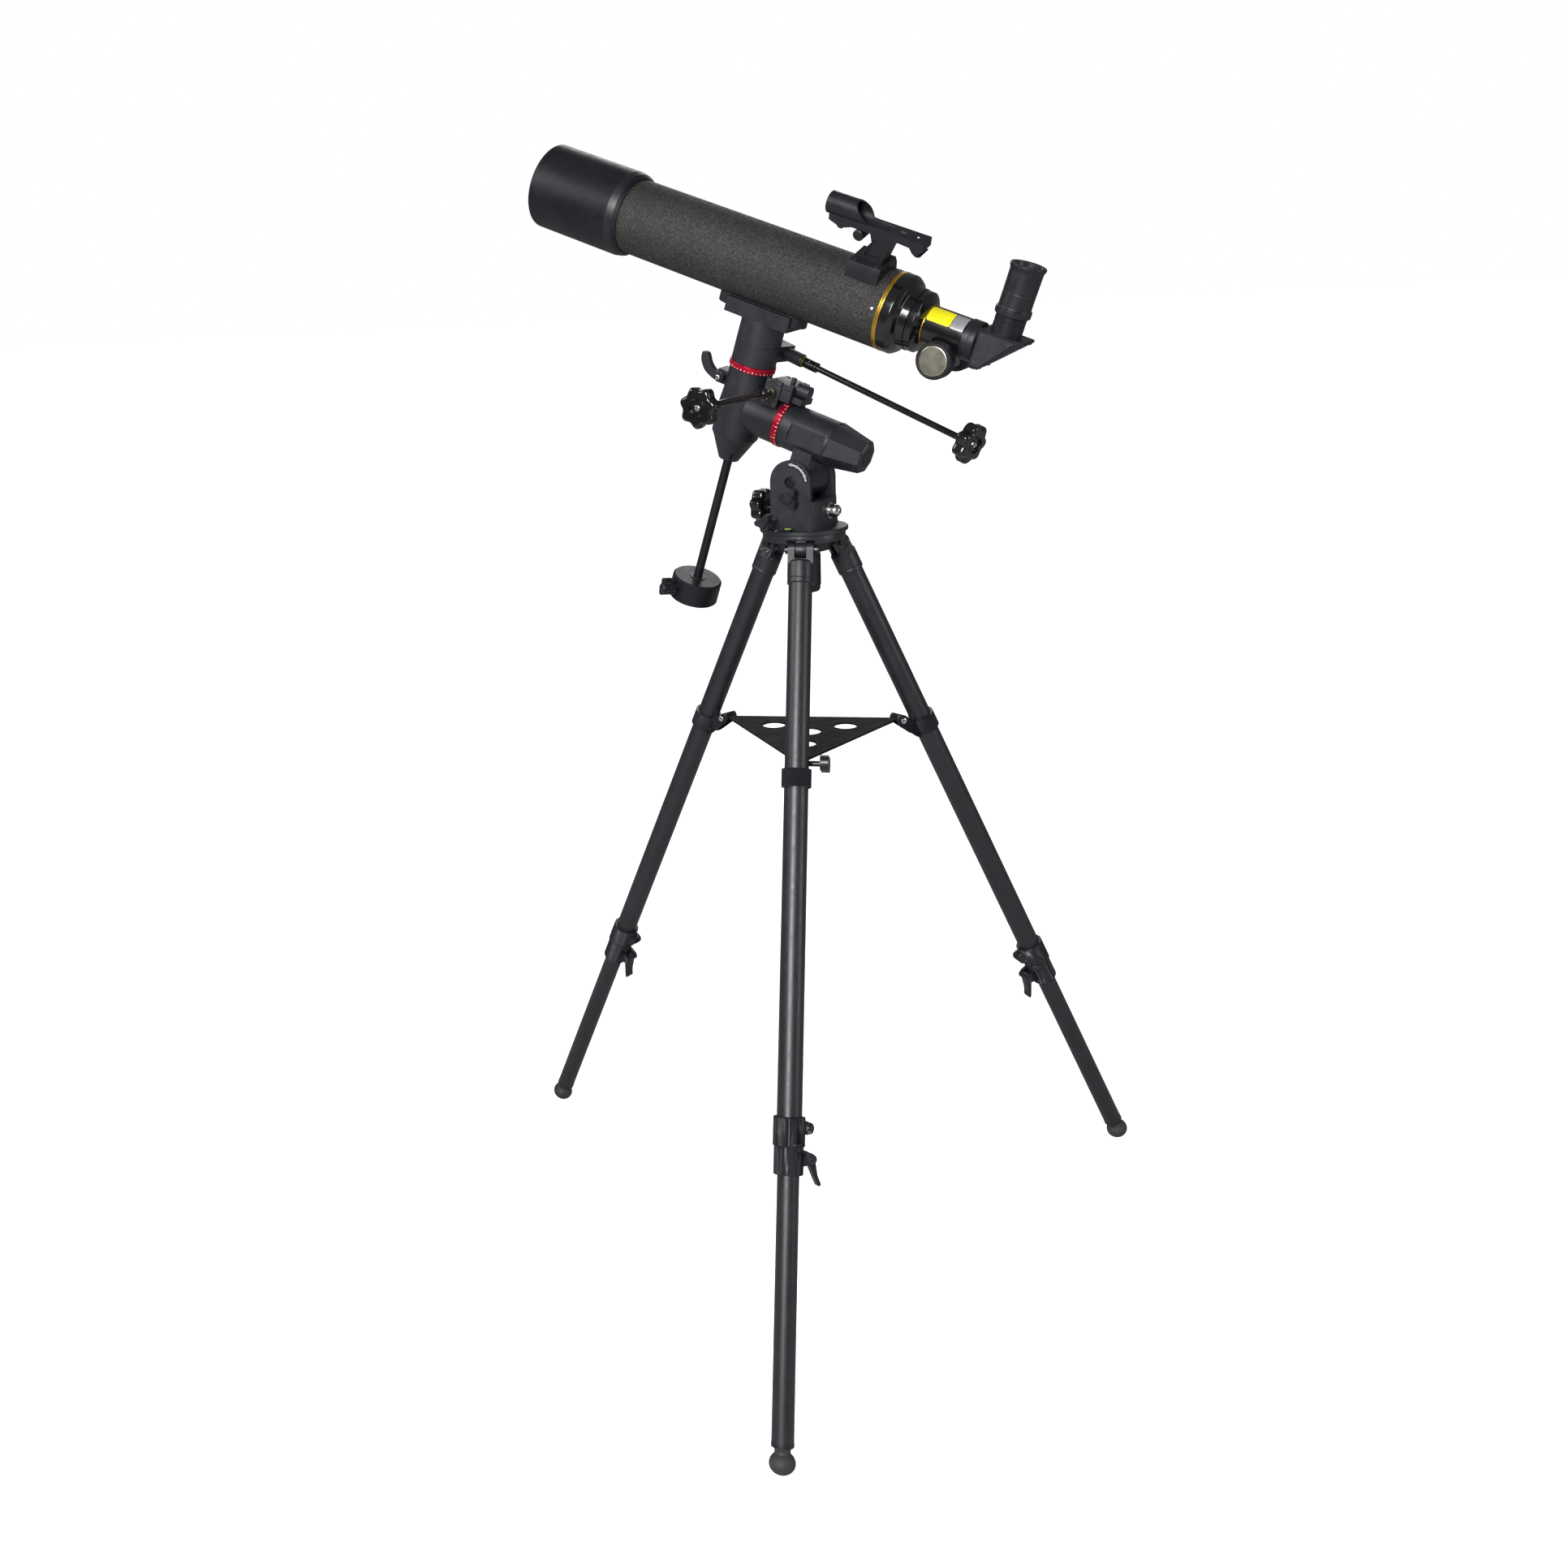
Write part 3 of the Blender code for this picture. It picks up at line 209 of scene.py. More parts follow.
def crinkle_paint(name):
    """Textured charcoal paint: a fine pebbled relief, with painted shade darkening its pits and tiny bright
    flecks painted in as glints.
    """
    nodes = Nodes(name)
    drift = nodes.span(nodes.noise(18.0, 3.0), 0.35, 0.65)
    base = nodes.mix(drift, (0.031, 0.030, 0.028), (0.042, 0.040, 0.037))
    pebble = nodes.noise(520.0, 6.0, 0.66)
    # painted shade: where the pebble relief is low, its pits are darkened towards near black
    base_with_painted_pit_shade = nodes.mix(nodes.span(pebble, 0.40, 0.60), (0.006, 0.0058, 0.0055), base)
    # painted glints: tiny bright flecks mixed into the colour as sparkle on the crinkle
    painted_glint_fleck = nodes.span(nodes.noise(1100.0, 2.0, 0.5), 0.65, 0.71)
    colour = nodes.mix(painted_glint_fleck, base_with_painted_pit_shade, (0.24, 0.23, 0.21))
    nodes.link(colour, nodes.shader.inputs["Base Color"])
    gloss = nodes.span(nodes.noise(400.0, 4.0, 0.6), 0.35, 0.65, 0.45, 0.80)
    nodes.link(gloss, nodes.shader.inputs["Roughness"])
    nodes.shader.inputs["Specular IOR Level"].default_value = 0.45
    nodes.bump(pebble, 0.70, 0.0014)
    return nodes.material


def lens_glass(name):
    """Coated glass with a faint tint and a trace of dust in its gloss."""
    nodes = Nodes(name)
    drift = nodes.span(nodes.noise(40.0, 3.0), 0.35, 0.65)
    nodes.link(nodes.mix(drift, (0.62, 0.78, 0.84), (0.70, 0.72, 0.90)), nodes.shader.inputs["Base Color"])
    gloss = nodes.span(nodes.noise(300.0, 4.0), 0.4, 0.7, 0.02, 0.06)
    nodes.link(gloss, nodes.shader.inputs["Roughness"])
    nodes.shader.inputs["Transmission Weight"].default_value = 0.9
    nodes.shader.inputs["IOR"].default_value = 1.5
    nodes.bump(nodes.noise(25.0, 1.0), 0.02, 0.0002)
    return nodes.material


FINISHES = {
    "casting": surface("casting_paint", (0.012, 0.0130, 0.0175), (0.019, 0.0202, 0.0260), (0.34, 0.46), 0.0,
                       0.55, grain=1300.0, relief=0.30, depth=0.0004, scuff=0.10),
    "tray_black": surface("tray_paint", (0.010, 0.010, 0.012), (0.016, 0.016, 0.019), (0.62, 0.78), 0.0,
                          0.10, grain=1100.0, relief=0.25, depth=0.0003, scuff=0.08),
    "tube_black": surface("anodised_tube", (0.008, 0.0083, 0.0120), (0.012, 0.0124, 0.0175), (0.36, 0.46),
                          0.0, 0.68, grain=900.0, relief=0.03, depth=0.0002, scuff=0.05,
                          stretch=(1.0, 1.0, 0.12)),
    "crinkle": crinkle_paint("crinkle_paint"),
    "satin_black": surface("satin_black_paint", (0.006, 0.0066, 0.0095), (0.009, 0.0098, 0.0140),
                           (0.34, 0.44), 0.0, 0.36, grain=1800.0, relief=0.06, scuff=0.05),
    "gloss_black": surface("gloss_black_plastic", (0.004, 0.004, 0.0045), (0.007, 0.007, 0.008),
                           (0.11, 0.19), 0.0, 0.55, grain=300.0, relief=0.006, scuff=0.03, coat=0.4),
    "plastic": surface("moulded_plastic", (0.009, 0.0095, 0.0130), (0.014, 0.0147, 0.0195), (0.32, 0.46),
                       0.0, 0.45, grain=2000.0, relief=0.12, scuff=0.07),
    "dark_steel": surface("dark_steel", (0.045, 0.046, 0.050), (0.070, 0.071, 0.075), (0.26, 0.36), 0.85,
                          0.5, grain=1500.0, relief=0.05, scuff=0.12),
    "rubber": surface("foot_rubber", (0.030, 0.031, 0.034), (0.045, 0.046, 0.049), (0.50, 0.68), 0.0, 0.35,
                      grain=700.0, relief=0.35, depth=0.0006, scuff=0.25),
    "red": surface("red_anodised", (0.42, 0.004, 0.022), (0.55, 0.008, 0.034), (0.24, 0.34), 0.55, 0.5,
                   grain=1500.0, relief=0.05, scuff=0.05),
    "steel": surface("bright_steel", (0.56, 0.56, 0.57), (0.66, 0.66, 0.67), (0.16, 0.28), 1.0, 0.5,
                     grain=1500.0, relief=0.05, scuff=0.10),
    "nickel": surface("brushed_nickel", (0.50, 0.47, 0.38), (0.60, 0.57, 0.47), (0.24, 0.34), 1.0, 0.5,
                      grain=600.0, relief=0.06, scuff=0.05, stretch=(6.0, 1.0, 6.0)),
    "gold": surface("gold_line", (0.62, 0.33, 0.035), (0.72, 0.42, 0.06), (0.20, 0.30), 0.85, 0.5,
                    scuff=0.05),
    "brass": surface("brass_bush", (0.42, 0.36, 0.12), (0.50, 0.42, 0.16), (0.25, 0.38), 0.9, 0.5,
                     scuff=0.08),
    "white_mark": surface("white_marking", (0.70, 0.70, 0.70), (0.80, 0.80, 0.80), (0.45, 0.60), 0.0, 0.4,
                          relief=0.05, scuff=0.02),
    "yellow_label": surface("yellow_label", (0.80, 0.74, 0.01), (0.86, 0.80, 0.02), (0.30, 0.42), 0.0, 0.45,
                            relief=0.03, scuff=0.04),
    "silver_label": surface("silver_label", (0.46, 0.47, 0.48), (0.58, 0.59, 0.60), (0.26, 0.40), 0.6, 0.5,
                            relief=0.05, scuff=0.10),
    "dark_inside": surface("matt_black", (0.004, 0.004, 0.004), (0.007, 0.007, 0.007), (0.70, 0.85), 0.0,
                           0.25, grain=900.0, relief=0.20, scuff=0.02),
    "bubble": surface("bubble_green", (0.36, 0.58, 0.10), (0.46, 0.68, 0.16), (0.05, 0.12), 0.0, 0.5,
                      relief=0.02, scuff=0.0, coat=0.5),
    "glass": lens_glass("coated_glass"),
}


# ---------------------------------------------------------------- helpers
def at(parent, location=(0, 0, 0), rotation=(0, 0, 0)):
    return parent @ Matrix.Translation(location) @ Euler(rotation).to_matrix().to_4x4()


def place(mesh, parent, location=(0, 0, 0), rotation=(0, 0, 0)):
    obj = bpy.data.objects.new(mesh.name, mesh)
    WORK.objects.link(obj)
    obj.matrix_world = at(parent, location, rotation)
    return obj


def piece(obj, node, finish, bevel=0.0004, segments=2, extra=False):
    """A visible piece: it stands for its CAD node, or is a detail that rides with it."""
    PIECES.append((obj, node, finish, bevel, segments, extra))
    return obj


def detail(obj, node, finish, bevel=0.0, segments=1):
    return piece(obj, node, finish, bevel, segments, extra=True)


def mesh_from(bm, name):
    bmesh.ops.recalc_face_normals(bm, faces=bm.faces)
    mesh = bpy.data.meshes.new(name)
    bm.to_mesh(mesh)
    bm.free()
    mesh.shade_smooth()
    return mesh


def box(name, parent, low, high, rotation=(0, 0, 0), pivot=(0, 0, 0)):
    bm = bmesh.new()
    bmesh.ops.create_cube(bm, size=1.0)
    bmesh.ops.scale(bm, vec=[b - a for a, b in zip(low, high)], verts=bm.verts)
    bmesh.ops.translate(bm, vec=[(a + b) / 2 - p for a, b, p in zip(low, high, pivot)], verts=bm.verts)
    return place(mesh_from(bm, name), parent, pivot, rotation)


def turned(name, parent, profile, steps=96, location=(0, 0, 0), rotation=(0, 0, 0), ring=False):
    """A profile of (radius, height) points, top to bottom on its outer side, turned about Z."""
    bm = bmesh.new()
    turns = [(math.cos(2 * math.pi * i / steps), math.sin(2 * math.pi * i / steps)) for i in range(steps)]
    rings = []
    for radius, height in profile:
        if radius < 1e-6:
            rings.append([bm.verts.new((0.0, 0.0, height))])
        else:
            rings.append([bm.verts.new((radius * c, radius * s, height)) for c, s in turns])
    pairs = list(zip(rings, rings[1:]))
    if ring:
        pairs.append((rings[-1], rings[0]))
    for upper, lower in pairs:
        small, large = sorted((upper, lower), key=len)
        if len(large) == 1:
            continue
        if len(small) == 1 and abs(small[0].co.z - large[0].co.z) < 1e-7:
            bm.faces.new(large)
            bm.verts.remove(small[0])
            continue
        for i in range(steps):
            j = (i + 1) % steps
            if len(small) == 1:
                bm.faces.new((small[0], large[i], large[j]))
            else:
                bm.faces.new((upper[i], lower[i], lower[j], upper[j]))
    return place(mesh_from(bm, name), parent, location, rotation)


def rod(name, parent, radius, start, end, sides=48, radius_end=None):
    axis = Vector(end) - Vector(start)
    tip = radius if radius_end is None else radius_end
    profile = [(0.0, axis.length), (tip, axis.length), (radius, 0.0), (0.0, 0.0)]
    return turned(name, parent, profile, sides, start, axis.to_track_quat("Z", "Y").to_euler())


def tube(name, parent, outer, inner, top, bottom, steps=96, **where):
    profile = [(outer, top), (outer, bottom), (inner, bottom), (inner, top)]
    return turned(name, parent, profile, steps, ring=True, **where)


def mesh_of_curve(curve):
    """The filled mesh of a curve or text, made without touching the scene."""
    holder = bpy.data.objects.new(curve.name + "_holder", curve)
    mesh = holder.to_mesh().copy()
    holder.to_mesh_clear()
    bpy.data.objects.remove(holder)
    return mesh


def outline_mesh(name, outlines, thickness):
    curve = bpy.data.curves.new(name, "CURVE")
    curve.dimensions = "2D"
    curve.fill_mode = "BOTH"
    curve.extrude = thickness / 2
    for outline in outlines:
        spline = curve.splines.new("POLY")
        spline.points.add(len(outline) - 1)
        for point, (x, y) in zip(spline.points, outline):
            point.co = (x, y, 0.0, 1.0)
        spline.use_cyclic_u = True
    bm = bmesh.new()
    bm.from_mesh(mesh_of_curve(curve))
    bmesh.ops.remove_doubles(bm, verts=bm.verts, dist=1e-6)
    bmesh.ops.dissolve_limit(bm, angle_limit=0.001, verts=bm.verts, edges=bm.edges)
    return mesh_from(bm, name)


def plate(name, parent, outlines, thickness, location=(0, 0, 0), rotation=(0, 0, 0)):
    return place(outline_mesh(name, outlines, thickness), parent, location, rotation)


def boolean(obj, operation, tools):
    for tool in tools:
        modifier = obj.modifiers.new(operation.title(), "BOOLEAN")
        modifier.operation = operation
        modifier.object = tool
        modifier.solver = "EXACT"
    return obj


def cut(obj, *tools):
    return boolean(obj, "DIFFERENCE", tools)


def join(obj, *tools):
    return boolean(obj, "UNION", tools)


def rounded(obj, width, segments=3, angle=30.0):
    modifier = obj.modifiers.new("Bevel", "BEVEL")
    modifier.width = width
    modifier.segments = segments
    modifier.limit_method = "ANGLE"
    modifier.angle_limit = math.radians(angle)
    modifier.use_clamp_overlap = True
    return obj


def arc(cx, cy, radius, start, end, count):
    angles = [math.radians(start + (end - start) * i / (count - 1)) for i in range(count)]
    return [(cx + radius * math.cos(a), cy + radius * math.sin(a)) for a in angles]


def circle(cx, cy, radius, count=64):
    return arc(cx, cy, radius, 0.0, 360.0 * (count - 1) / count, count)


def lobed(radius, lobes, depth, count):
    angles = [2 * math.pi * i / count for i in range(count)]
    radii = [radius - depth * (1 - math.cos(lobes * a)) / 2 for a in angles]
    return [(r * math.cos(a), r * math.sin(a)) for r, a in zip(radii, angles)]


def soft_corners(points, radius, count=5):
    """The outline with each corner rounded off by a short curve."""
    result = []
    for i, point in enumerate(points):
        corner, before, after = Vector(point), Vector(points[i - 1]), Vector(points[(i + 1) % len(points)])
        reach = min(radius, (before - corner).length * 0.45, (after - corner).length * 0.45)
        start = corner + (before - corner).normalized() * reach
        end = corner + (after - corner).normalized() * reach
        for step in range(count):
            t = step / (count - 1)
            result.append(tuple(start * (1 - t) ** 2 + corner * 2 * t * (1 - t) + end * t ** 2))
    return result


def add_block(bm, matrix, size):
    made = bmesh.ops.create_cube(bm, size=1.0, matrix=matrix @ Matrix.Diagonal((*size, 1.0)))
    return made["verts"]


def add_rod(bm, matrix, radius, length, sides=16):
    bmesh.ops.create_cone(bm, cap_ends=True, segments=sides, radius1=radius, radius2=radius, depth=length,
                          matrix=matrix)


def add_number(bm, text, size, matrix):
    curve = bpy.data.curves.new("number", "FONT")
    curve.body = text
    curve.size = size
    curve.align_x = "CENTER"
    curve.align_y = "CENTER"
    curve.extrude = 0.00006
    mesh = mesh_of_curve(curve)
    mesh.transform(matrix)
    bm.from_mesh(mesh)


def dial_marks(name, parent, radius, low, high, step, every, numbered):
    """Division lines round a ring about Z, from its lower edge, with numbers at the main ones if asked."""
    bm = bmesh.new()
    for degrees in range(0, 360, step):
        main = degrees % every == 0
        reach = (high - low) * (0.30 if main else 0.20)
        turn = Matrix.Rotation(math.radians(degrees), 4, "Z")
        line = turn @ Matrix.Translation((radius, 0, low + reach / 2))
        add_block(bm, line, (0.00014, 0.00120 if main else 0.00095, reach))
        if main and numbered:
            face = Matrix(((0, 0, 1, 0), (1, 0, 0, 0), (0, 1, 0, 0), (0, 0, 0, 1)))
            label = turn @ Matrix.Translation((radius, 0, low + (high - low) * 0.62)) @ face
            add_number(bm, str(degrees // 10), DIAL_NUMBER, label)
    return place(mesh_from(bm, name), parent)


def cross_screw(name, parent, location, rotation, radius, node, finish="steel", height=0.0012):
    """A pan-head screw with a cross recess; its axis is Z and it faces +Z."""
    head = turned(name, parent, [(0.0, height), (radius * 0.55, height), (radius * 0.9, height * 0.7),
                                 (radius, height * 0.25), (radius, -0.0004), (0.0, -0.0004)], 40,
                  location, rotation)
    here = at(parent, location, rotation)
    deep = height * 0.35
    first = box(name + "_slot_a", here, (-radius * 0.6, -radius * 0.12, deep),
                (radius * 0.6, radius * 0.12, 0.01))
    second = box(name + "_slot_b", here, (-radius * 0.12, -radius * 0.6, deep),
                 (radius * 0.12, radius * 0.6, 0.01))
    cut(head, first, second)
    return detail(head, node, finish, 0.0001)


def hex_socket(obj, parent, radius, low, high):
    """A six-sided recess about Z."""
    return cut(obj, rod(obj.name + "_socket", parent, radius, (0, 0, low), (0, 0, high), sides=6))


# ---------------------------------------------------------------- tripod
def leg_axes(base, side):
    azimuth = math.radians(LEG_AZIMUTHS[side])
    hinge = (HINGE_RADIUS * math.cos(azimuth), HINGE_RADIUS * math.sin(azimuth), HINGE_HEIGHT)
    return at(base, hinge, (0.0, -LEG_ANGLE, azimuth))


def build_hub(base):
    hub_r, hub_top, plate_bottom, hub_bottom = 0.0500, DISC_BOTTOM - GAP, 0.9180, 0.9045
    slot_half, slot_start, tongue_half = 0.0163, 0.0300, 0.0064
    hub = turned("hub", base, [
        (0.0, hub_top), (hub_r, hub_top), (hub_r, plate_bottom), (0.0340, plate_bottom),
        (0.0310, hub_bottom), (0.0, hub_bottom)])
    for azimuth in LEG_AZIMUTHS.values():
        arm = at(base, (0, 0, HINGE_HEIGHT), (0, 0, math.radians(azimuth)))
        slot = box("hub_slot", arm, (slot_start, -slot_half, -0.03), (0.07, slot_half, 0.0117))
        tongue = rod("hub_tongue", arm, 0.0088, (HINGE_RADIUS, -tongue_half, 0),
                     (HINGE_RADIUS, tongue_half, 0))
        web_half = tongue_half - 0.0004
        web = box("hub_web", arm, (0.028, -web_half, -0.0050), (HINGE_RADIUS + 0.001, web_half, 0.0140))
        hole = rod("hub_hole", arm, 0.0033, (HINGE_RADIUS, -0.02, 0), (HINGE_RADIUS, 0.02, 0), sides=32)
        cut(hub, slot)
        join(hub, tongue, web)
        cut(hub, hole)
    cut(hub, rod("hub_bore", base, 0.0055, (0, 0, 0.88), (0, 0, 0.95)))
    piece(hub, "tripod_hub", "casting", 0.0006)


def build_centre_bolt(base):
    bolt = turned("centre_bolt", base, [
        (0.0, 0.9270), (0.0050, 0.9270), (0.0050, 0.9040), (0.0165, 0.9040), (0.0190, 0.9005),
        (0.0190, 0.8985), (0.0195, 0.8980), (0.0195, 0.8610), (0.0190, 0.8605), (0.0185, 0.8550),
        (0.0170, 0.8530), (0.0, 0.8530)])
    bm = bmesh.new()
    for i in range(12):
        angle = 2 * math.pi * i / 12
        groove = Matrix.Translation((0.0203 * math.cos(angle), 0.0203 * math.sin(angle), 0.8700))
        add_rod(bm, groove, 0.0022, 0.0500, 20)
    cut(bolt, place(mesh_from(bm, "grip_grooves"), base))
    piece(bolt, "azimuth_centre_bolt", "plastic", 0.0004)


def build_hinge_pin(leg, side):
    pin = turned("pin", leg, [
        (0.0, 0.0215), (0.0040, 0.0215), (0.0052, 0.0200), (0.0052, 0.0155), (0.0030, 0.0155),
        (0.0030, -0.0155), (0.0050, -0.0155), (0.0050, -0.0190), (0.0, -0.0190)], 48, rotation=ALONG_Y)
    turned_axes = at(leg, (0, 0, 0), ALONG_Y)
    hex_socket(pin, turned_axes, 0.0026, 0.0195, 0.03)
    piece(pin, "hinge_pin_" + side, "dark_steel", 0.0002)


def build_upper_leg(leg, side):
    cheek_half, sleeve_r, head_end = 0.0150, 0.0158, -0.0185
    upper = turned("upper", leg, [
        (0.0, head_end), (sleeve_r, head_end), (sleeve_r, -0.0355), (sleeve_r - 0.0005, -0.0360),
        (sleeve_r - 0.0005, -0.0370), (sleeve_r, -0.0375), (sleeve_r, -0.0420), (UPPER_R, -0.0430),
        (UPPER_R, UPPER_END), (UPPER_BORE, UPPER_END), (UPPER_BORE, -0.0260), (0.0, -0.0260)], 96)
    piece(upper, "leg_upper_" + side, "tube_black", 0.0003)
    head = turned("leg_head_" + side, leg, [
        (0.0, -0.0150), (sleeve_r - 0.002, -0.0150), (sleeve_r, -0.0175), (sleeve_r, head_end),
        (0.0, head_end)], 96)
    eye = rod("leg_eye", leg, 0.0098, (0, -cheek_half, 0), (0, cheek_half, 0))
    neck = box("leg_neck", leg, (-0.0096, -cheek_half, -0.0190), (0.0096, cheek_half, 0.0))
    slot = box("leg_slot", leg, (-0.02, -0.0070, -0.0135), (0.02, 0.0070, 0.02))
    hole = rod("leg_hole", leg, 0.0033, (0, -0.02, 0), (0, 0.02, 0), sides=32)
    join(head, eye, neck)
    cut(head, slot, hole)
    detail(head, "leg_upper_" + side, "tube_black", 0.0004, 2)


def tray_pivot():
    reach = TRAY_PIVOT_R - HINGE_RADIUS
    drop = TRAY_HEIGHT - HINGE_HEIGHT
    x = reach * math.cos(LEG_ANGLE) + drop * math.sin(LEG_ANGLE)
    z = -reach * math.sin(LEG_ANGLE) + drop * math.cos(LEG_ANGLE)
    return x, z


def build_spreader_collar(leg, side):
    node = "spreader_collar_" + side
    ring_r, cheek_in, cheek_out = 0.0173, 0.0072, 0.0112
    pivot_x, pivot_z = tray_pivot()
    top, bottom = SPREADER_Z + 0.0105, SPREADER_Z - 0.0105
    collar = tube("collar", leg, ring_r, UPPER_R - 0.002, top, bottom, 80)
    boss = arc(pivot_x, pivot_z, 0.0080, 100.0, 215.0, 24)
    shape = [(-0.0145, top + 0.004), *boss, (-0.0205, bottom + 0.002), (-0.0145, bottom - 0.003)]
    for low in (cheek_in, -cheek_out):
        middle = low + (cheek_out - cheek_in) / 2
        cheek = plate("cheek", leg, [shape], cheek_out - cheek_in, (0, middle, 0), SIDE_ON)
        join(collar, cheek)
    cut(collar, rod("collar_bore", leg, UPPER_R + GAP, (0, 0, -0.22), (0, 0, -0.32), sides=80))
    if side == "front":
        cut(collar, rod("pin_hole", leg, 0.0028, (pivot_x, -0.02, pivot_z), (pivot_x, 0.02, pivot_z),
                        sides=32))
    else:
        join(collar, rod("collar_pin", leg, 0.0022, (pivot_x, -0.0125, pivot_z), (pivot_x, 0.0125, pivot_z),
                         sides=32))
        for sign in (1, -1):
            cross_screw("spreader_screw_%s_%d" % (side, sign > 0), leg, (pivot_x, sign * 0.0119, pivot_z),
                        (-sign * math.pi / 2, 0, 0), 0.0040, node, "steel", 0.0016)
    piece(collar, node, "plastic", 0.0005)
    cross_screw("spreader_clamp_screw_" + side, leg, (-0.0175, 0.0113, SPREADER_Z - 0.0035), ALONG_Y,
                0.0026, node, "satin_black", 0.0012)


def build_lock(leg, side):
    """The clamp at the end of the upper tube, and its flip lever."""
    node = "lock_collar_" + side
    turn = at(leg, (0, 0, LOCK_Z), (0, 0, math.radians(LOCK_TURN[side])))
    upper_r, lower_r = 0.0178, 0.0164
    collar = turned("lock", turn, [
        (upper_r - 0.0008, 0.031), (upper_r, 0.0300), (upper_r, 0.0006), (upper_r - 0.0007, 0.0),
        (lower_r, -0.0003), (lower_r, -0.0292), (lower_r - 0.0008, -0.0300), (LOWER_R + GAP, -0.0300),
        (LOWER_R + GAP, 0.0085), (UPPER_R + GAP, 0.0085), (UPPER_R + GAP, 0.031)], 80, ring=True)
    ear = [(-0.0110, -0.004), (-0.0230, -0.006), *arc(-0.0235, -0.0125, 0.0055, 120.0, 250.0, 20),
           (-0.0110, -0.021)]
    lug = soft_corners([(-0.0165, 0.027), (-0.0245, 0.025), (-0.0265, 0.020), (-0.0245, 0.014),
                        (-0.0165, 0.012)], 0.002)
    for y in (0.0085, -0.0085):
        join(collar, plate("ear", turn, [ear], 0.0040, (0, y, 0), SIDE_ON))
    join(collar, plate("lug", turn, [lug], 0.016, (0, 0, 0), SIDE_ON))
    cut(collar, rod("lock_bore_a", turn, LOWER_R + GAP, (0, 0, -0.05), (0, 0, 0.01), sides=80),
        rod("lock_bore_b", turn, UPPER_R + GAP, (0, 0, 0.0085), (0, 0, 0.05), sides=80),
        box("lock_slit", turn, (-0.0300, -0.0007, 0.0100), (-0.0130, 0.0007, 0.0330)),
        box("lock_slit_low", turn, (-0.0178, -0.0007, -0.0310), (-0.0100, 0.0007, -0.0010)),
        box("lock_cut_high", turn, (-0.0180, -0.0190, 0.0038), (-0.0010, 0.0190, 0.0046)),
        box("lock_cut_low", turn, (-0.0180, -0.0190, -0.0062), (-0.0050, 0.0190, -0.0054)))
    piece(collar, node, "plastic", 0.0004)
    for sign in (1, -1):
        cross_screw("lock_screw_%s_%d" % (side, sign > 0), turn, (-0.0215, sign * 0.0080, 0.0195),
                    (-sign * math.pi / 2, 0, 0), 0.0028, node, "dark_steel", 0.0012)
        pin = turned("lever_pin_%s_%d" % (side, sign > 0), turn, [
            (0.0, 0.0010), (0.0018, 0.0008), (0.0022, 0.0), (0.0022, -0.0004), (0.0, -0.0004)], 32,
            (-0.0240, sign * 0.0105, -0.0125), (-sign * math.pi / 2, 0, 0))
        detail(pin, node, "dark_steel", 0.0001)

    pivot = at(turn, (-0.0240, 0, -0.0125))
    handle = [(0.0040, 0.0035), *arc(0.0, 0.0, 0.0050, 60.0, 200.0, 20), (-0.0075, -0.0170),
              (-0.0120, -0.0270), (-0.0085, -0.0290), (-0.0030, -0.0180), (0.0030, -0.0045)]
    lever = plate("lever", pivot, [soft_corners(handle, 0.0018, 4)], 0.0122, (0, 0, 0), SIDE_ON)
    for i in range(3):
        z = -0.0150 - 0.0035 * i
        x = -0.0070 - 0.0022 * i
        cut(lever, rod("lever_rib", pivot, 0.0009, (x - 0.0012, -0.01, z), (x - 0.0012, 0.01, z), sides=16))
    piece(lever, "lock_lever_" + side, "plastic", 0.0008, 3)


def build_lower_leg(leg, side):
    lower = tube("lower", leg, LOWER_R, LOWER_BORE, LOWER_TOP, LOWER_END, 80)
    piece(lower, "leg_lower_" + side, "tube_black", 0.0003)
    ball = [(FOOT_R * math.cos(a), FOOT_Z + 0.0118 * math.sin(a))
            for a in [math.radians(58.0 - 148.0 * i / 24) for i in range(25)]]
    ball[-1] = (0.0, ball[-1][1])
    collar_low, collar_r = LOWER_END - 0.0042, 0.0085
    foot = turned("ball_foot", leg, [
        (0.0, LOWER_END + 0.0160), (0.0090, LOWER_END + 0.0160), (LOWER_BORE - GAP, LOWER_END + 0.0140),
        (LOWER_BORE - GAP, LOWER_END - GAP), (collar_r, collar_low), *ball[1:]], 72)
    piece(foot, "foot_" + side, "rubber", 0.0003)
    cap = tube("tube_end_cap_" + side, leg, LOWER_R + 0.0003, LOWER_R - 0.0002, LOWER_END + 0.0035,
               LOWER_END - 0.0004, 80)
    detail(cap, "leg_lower_" + side, "plastic", 0.0001)


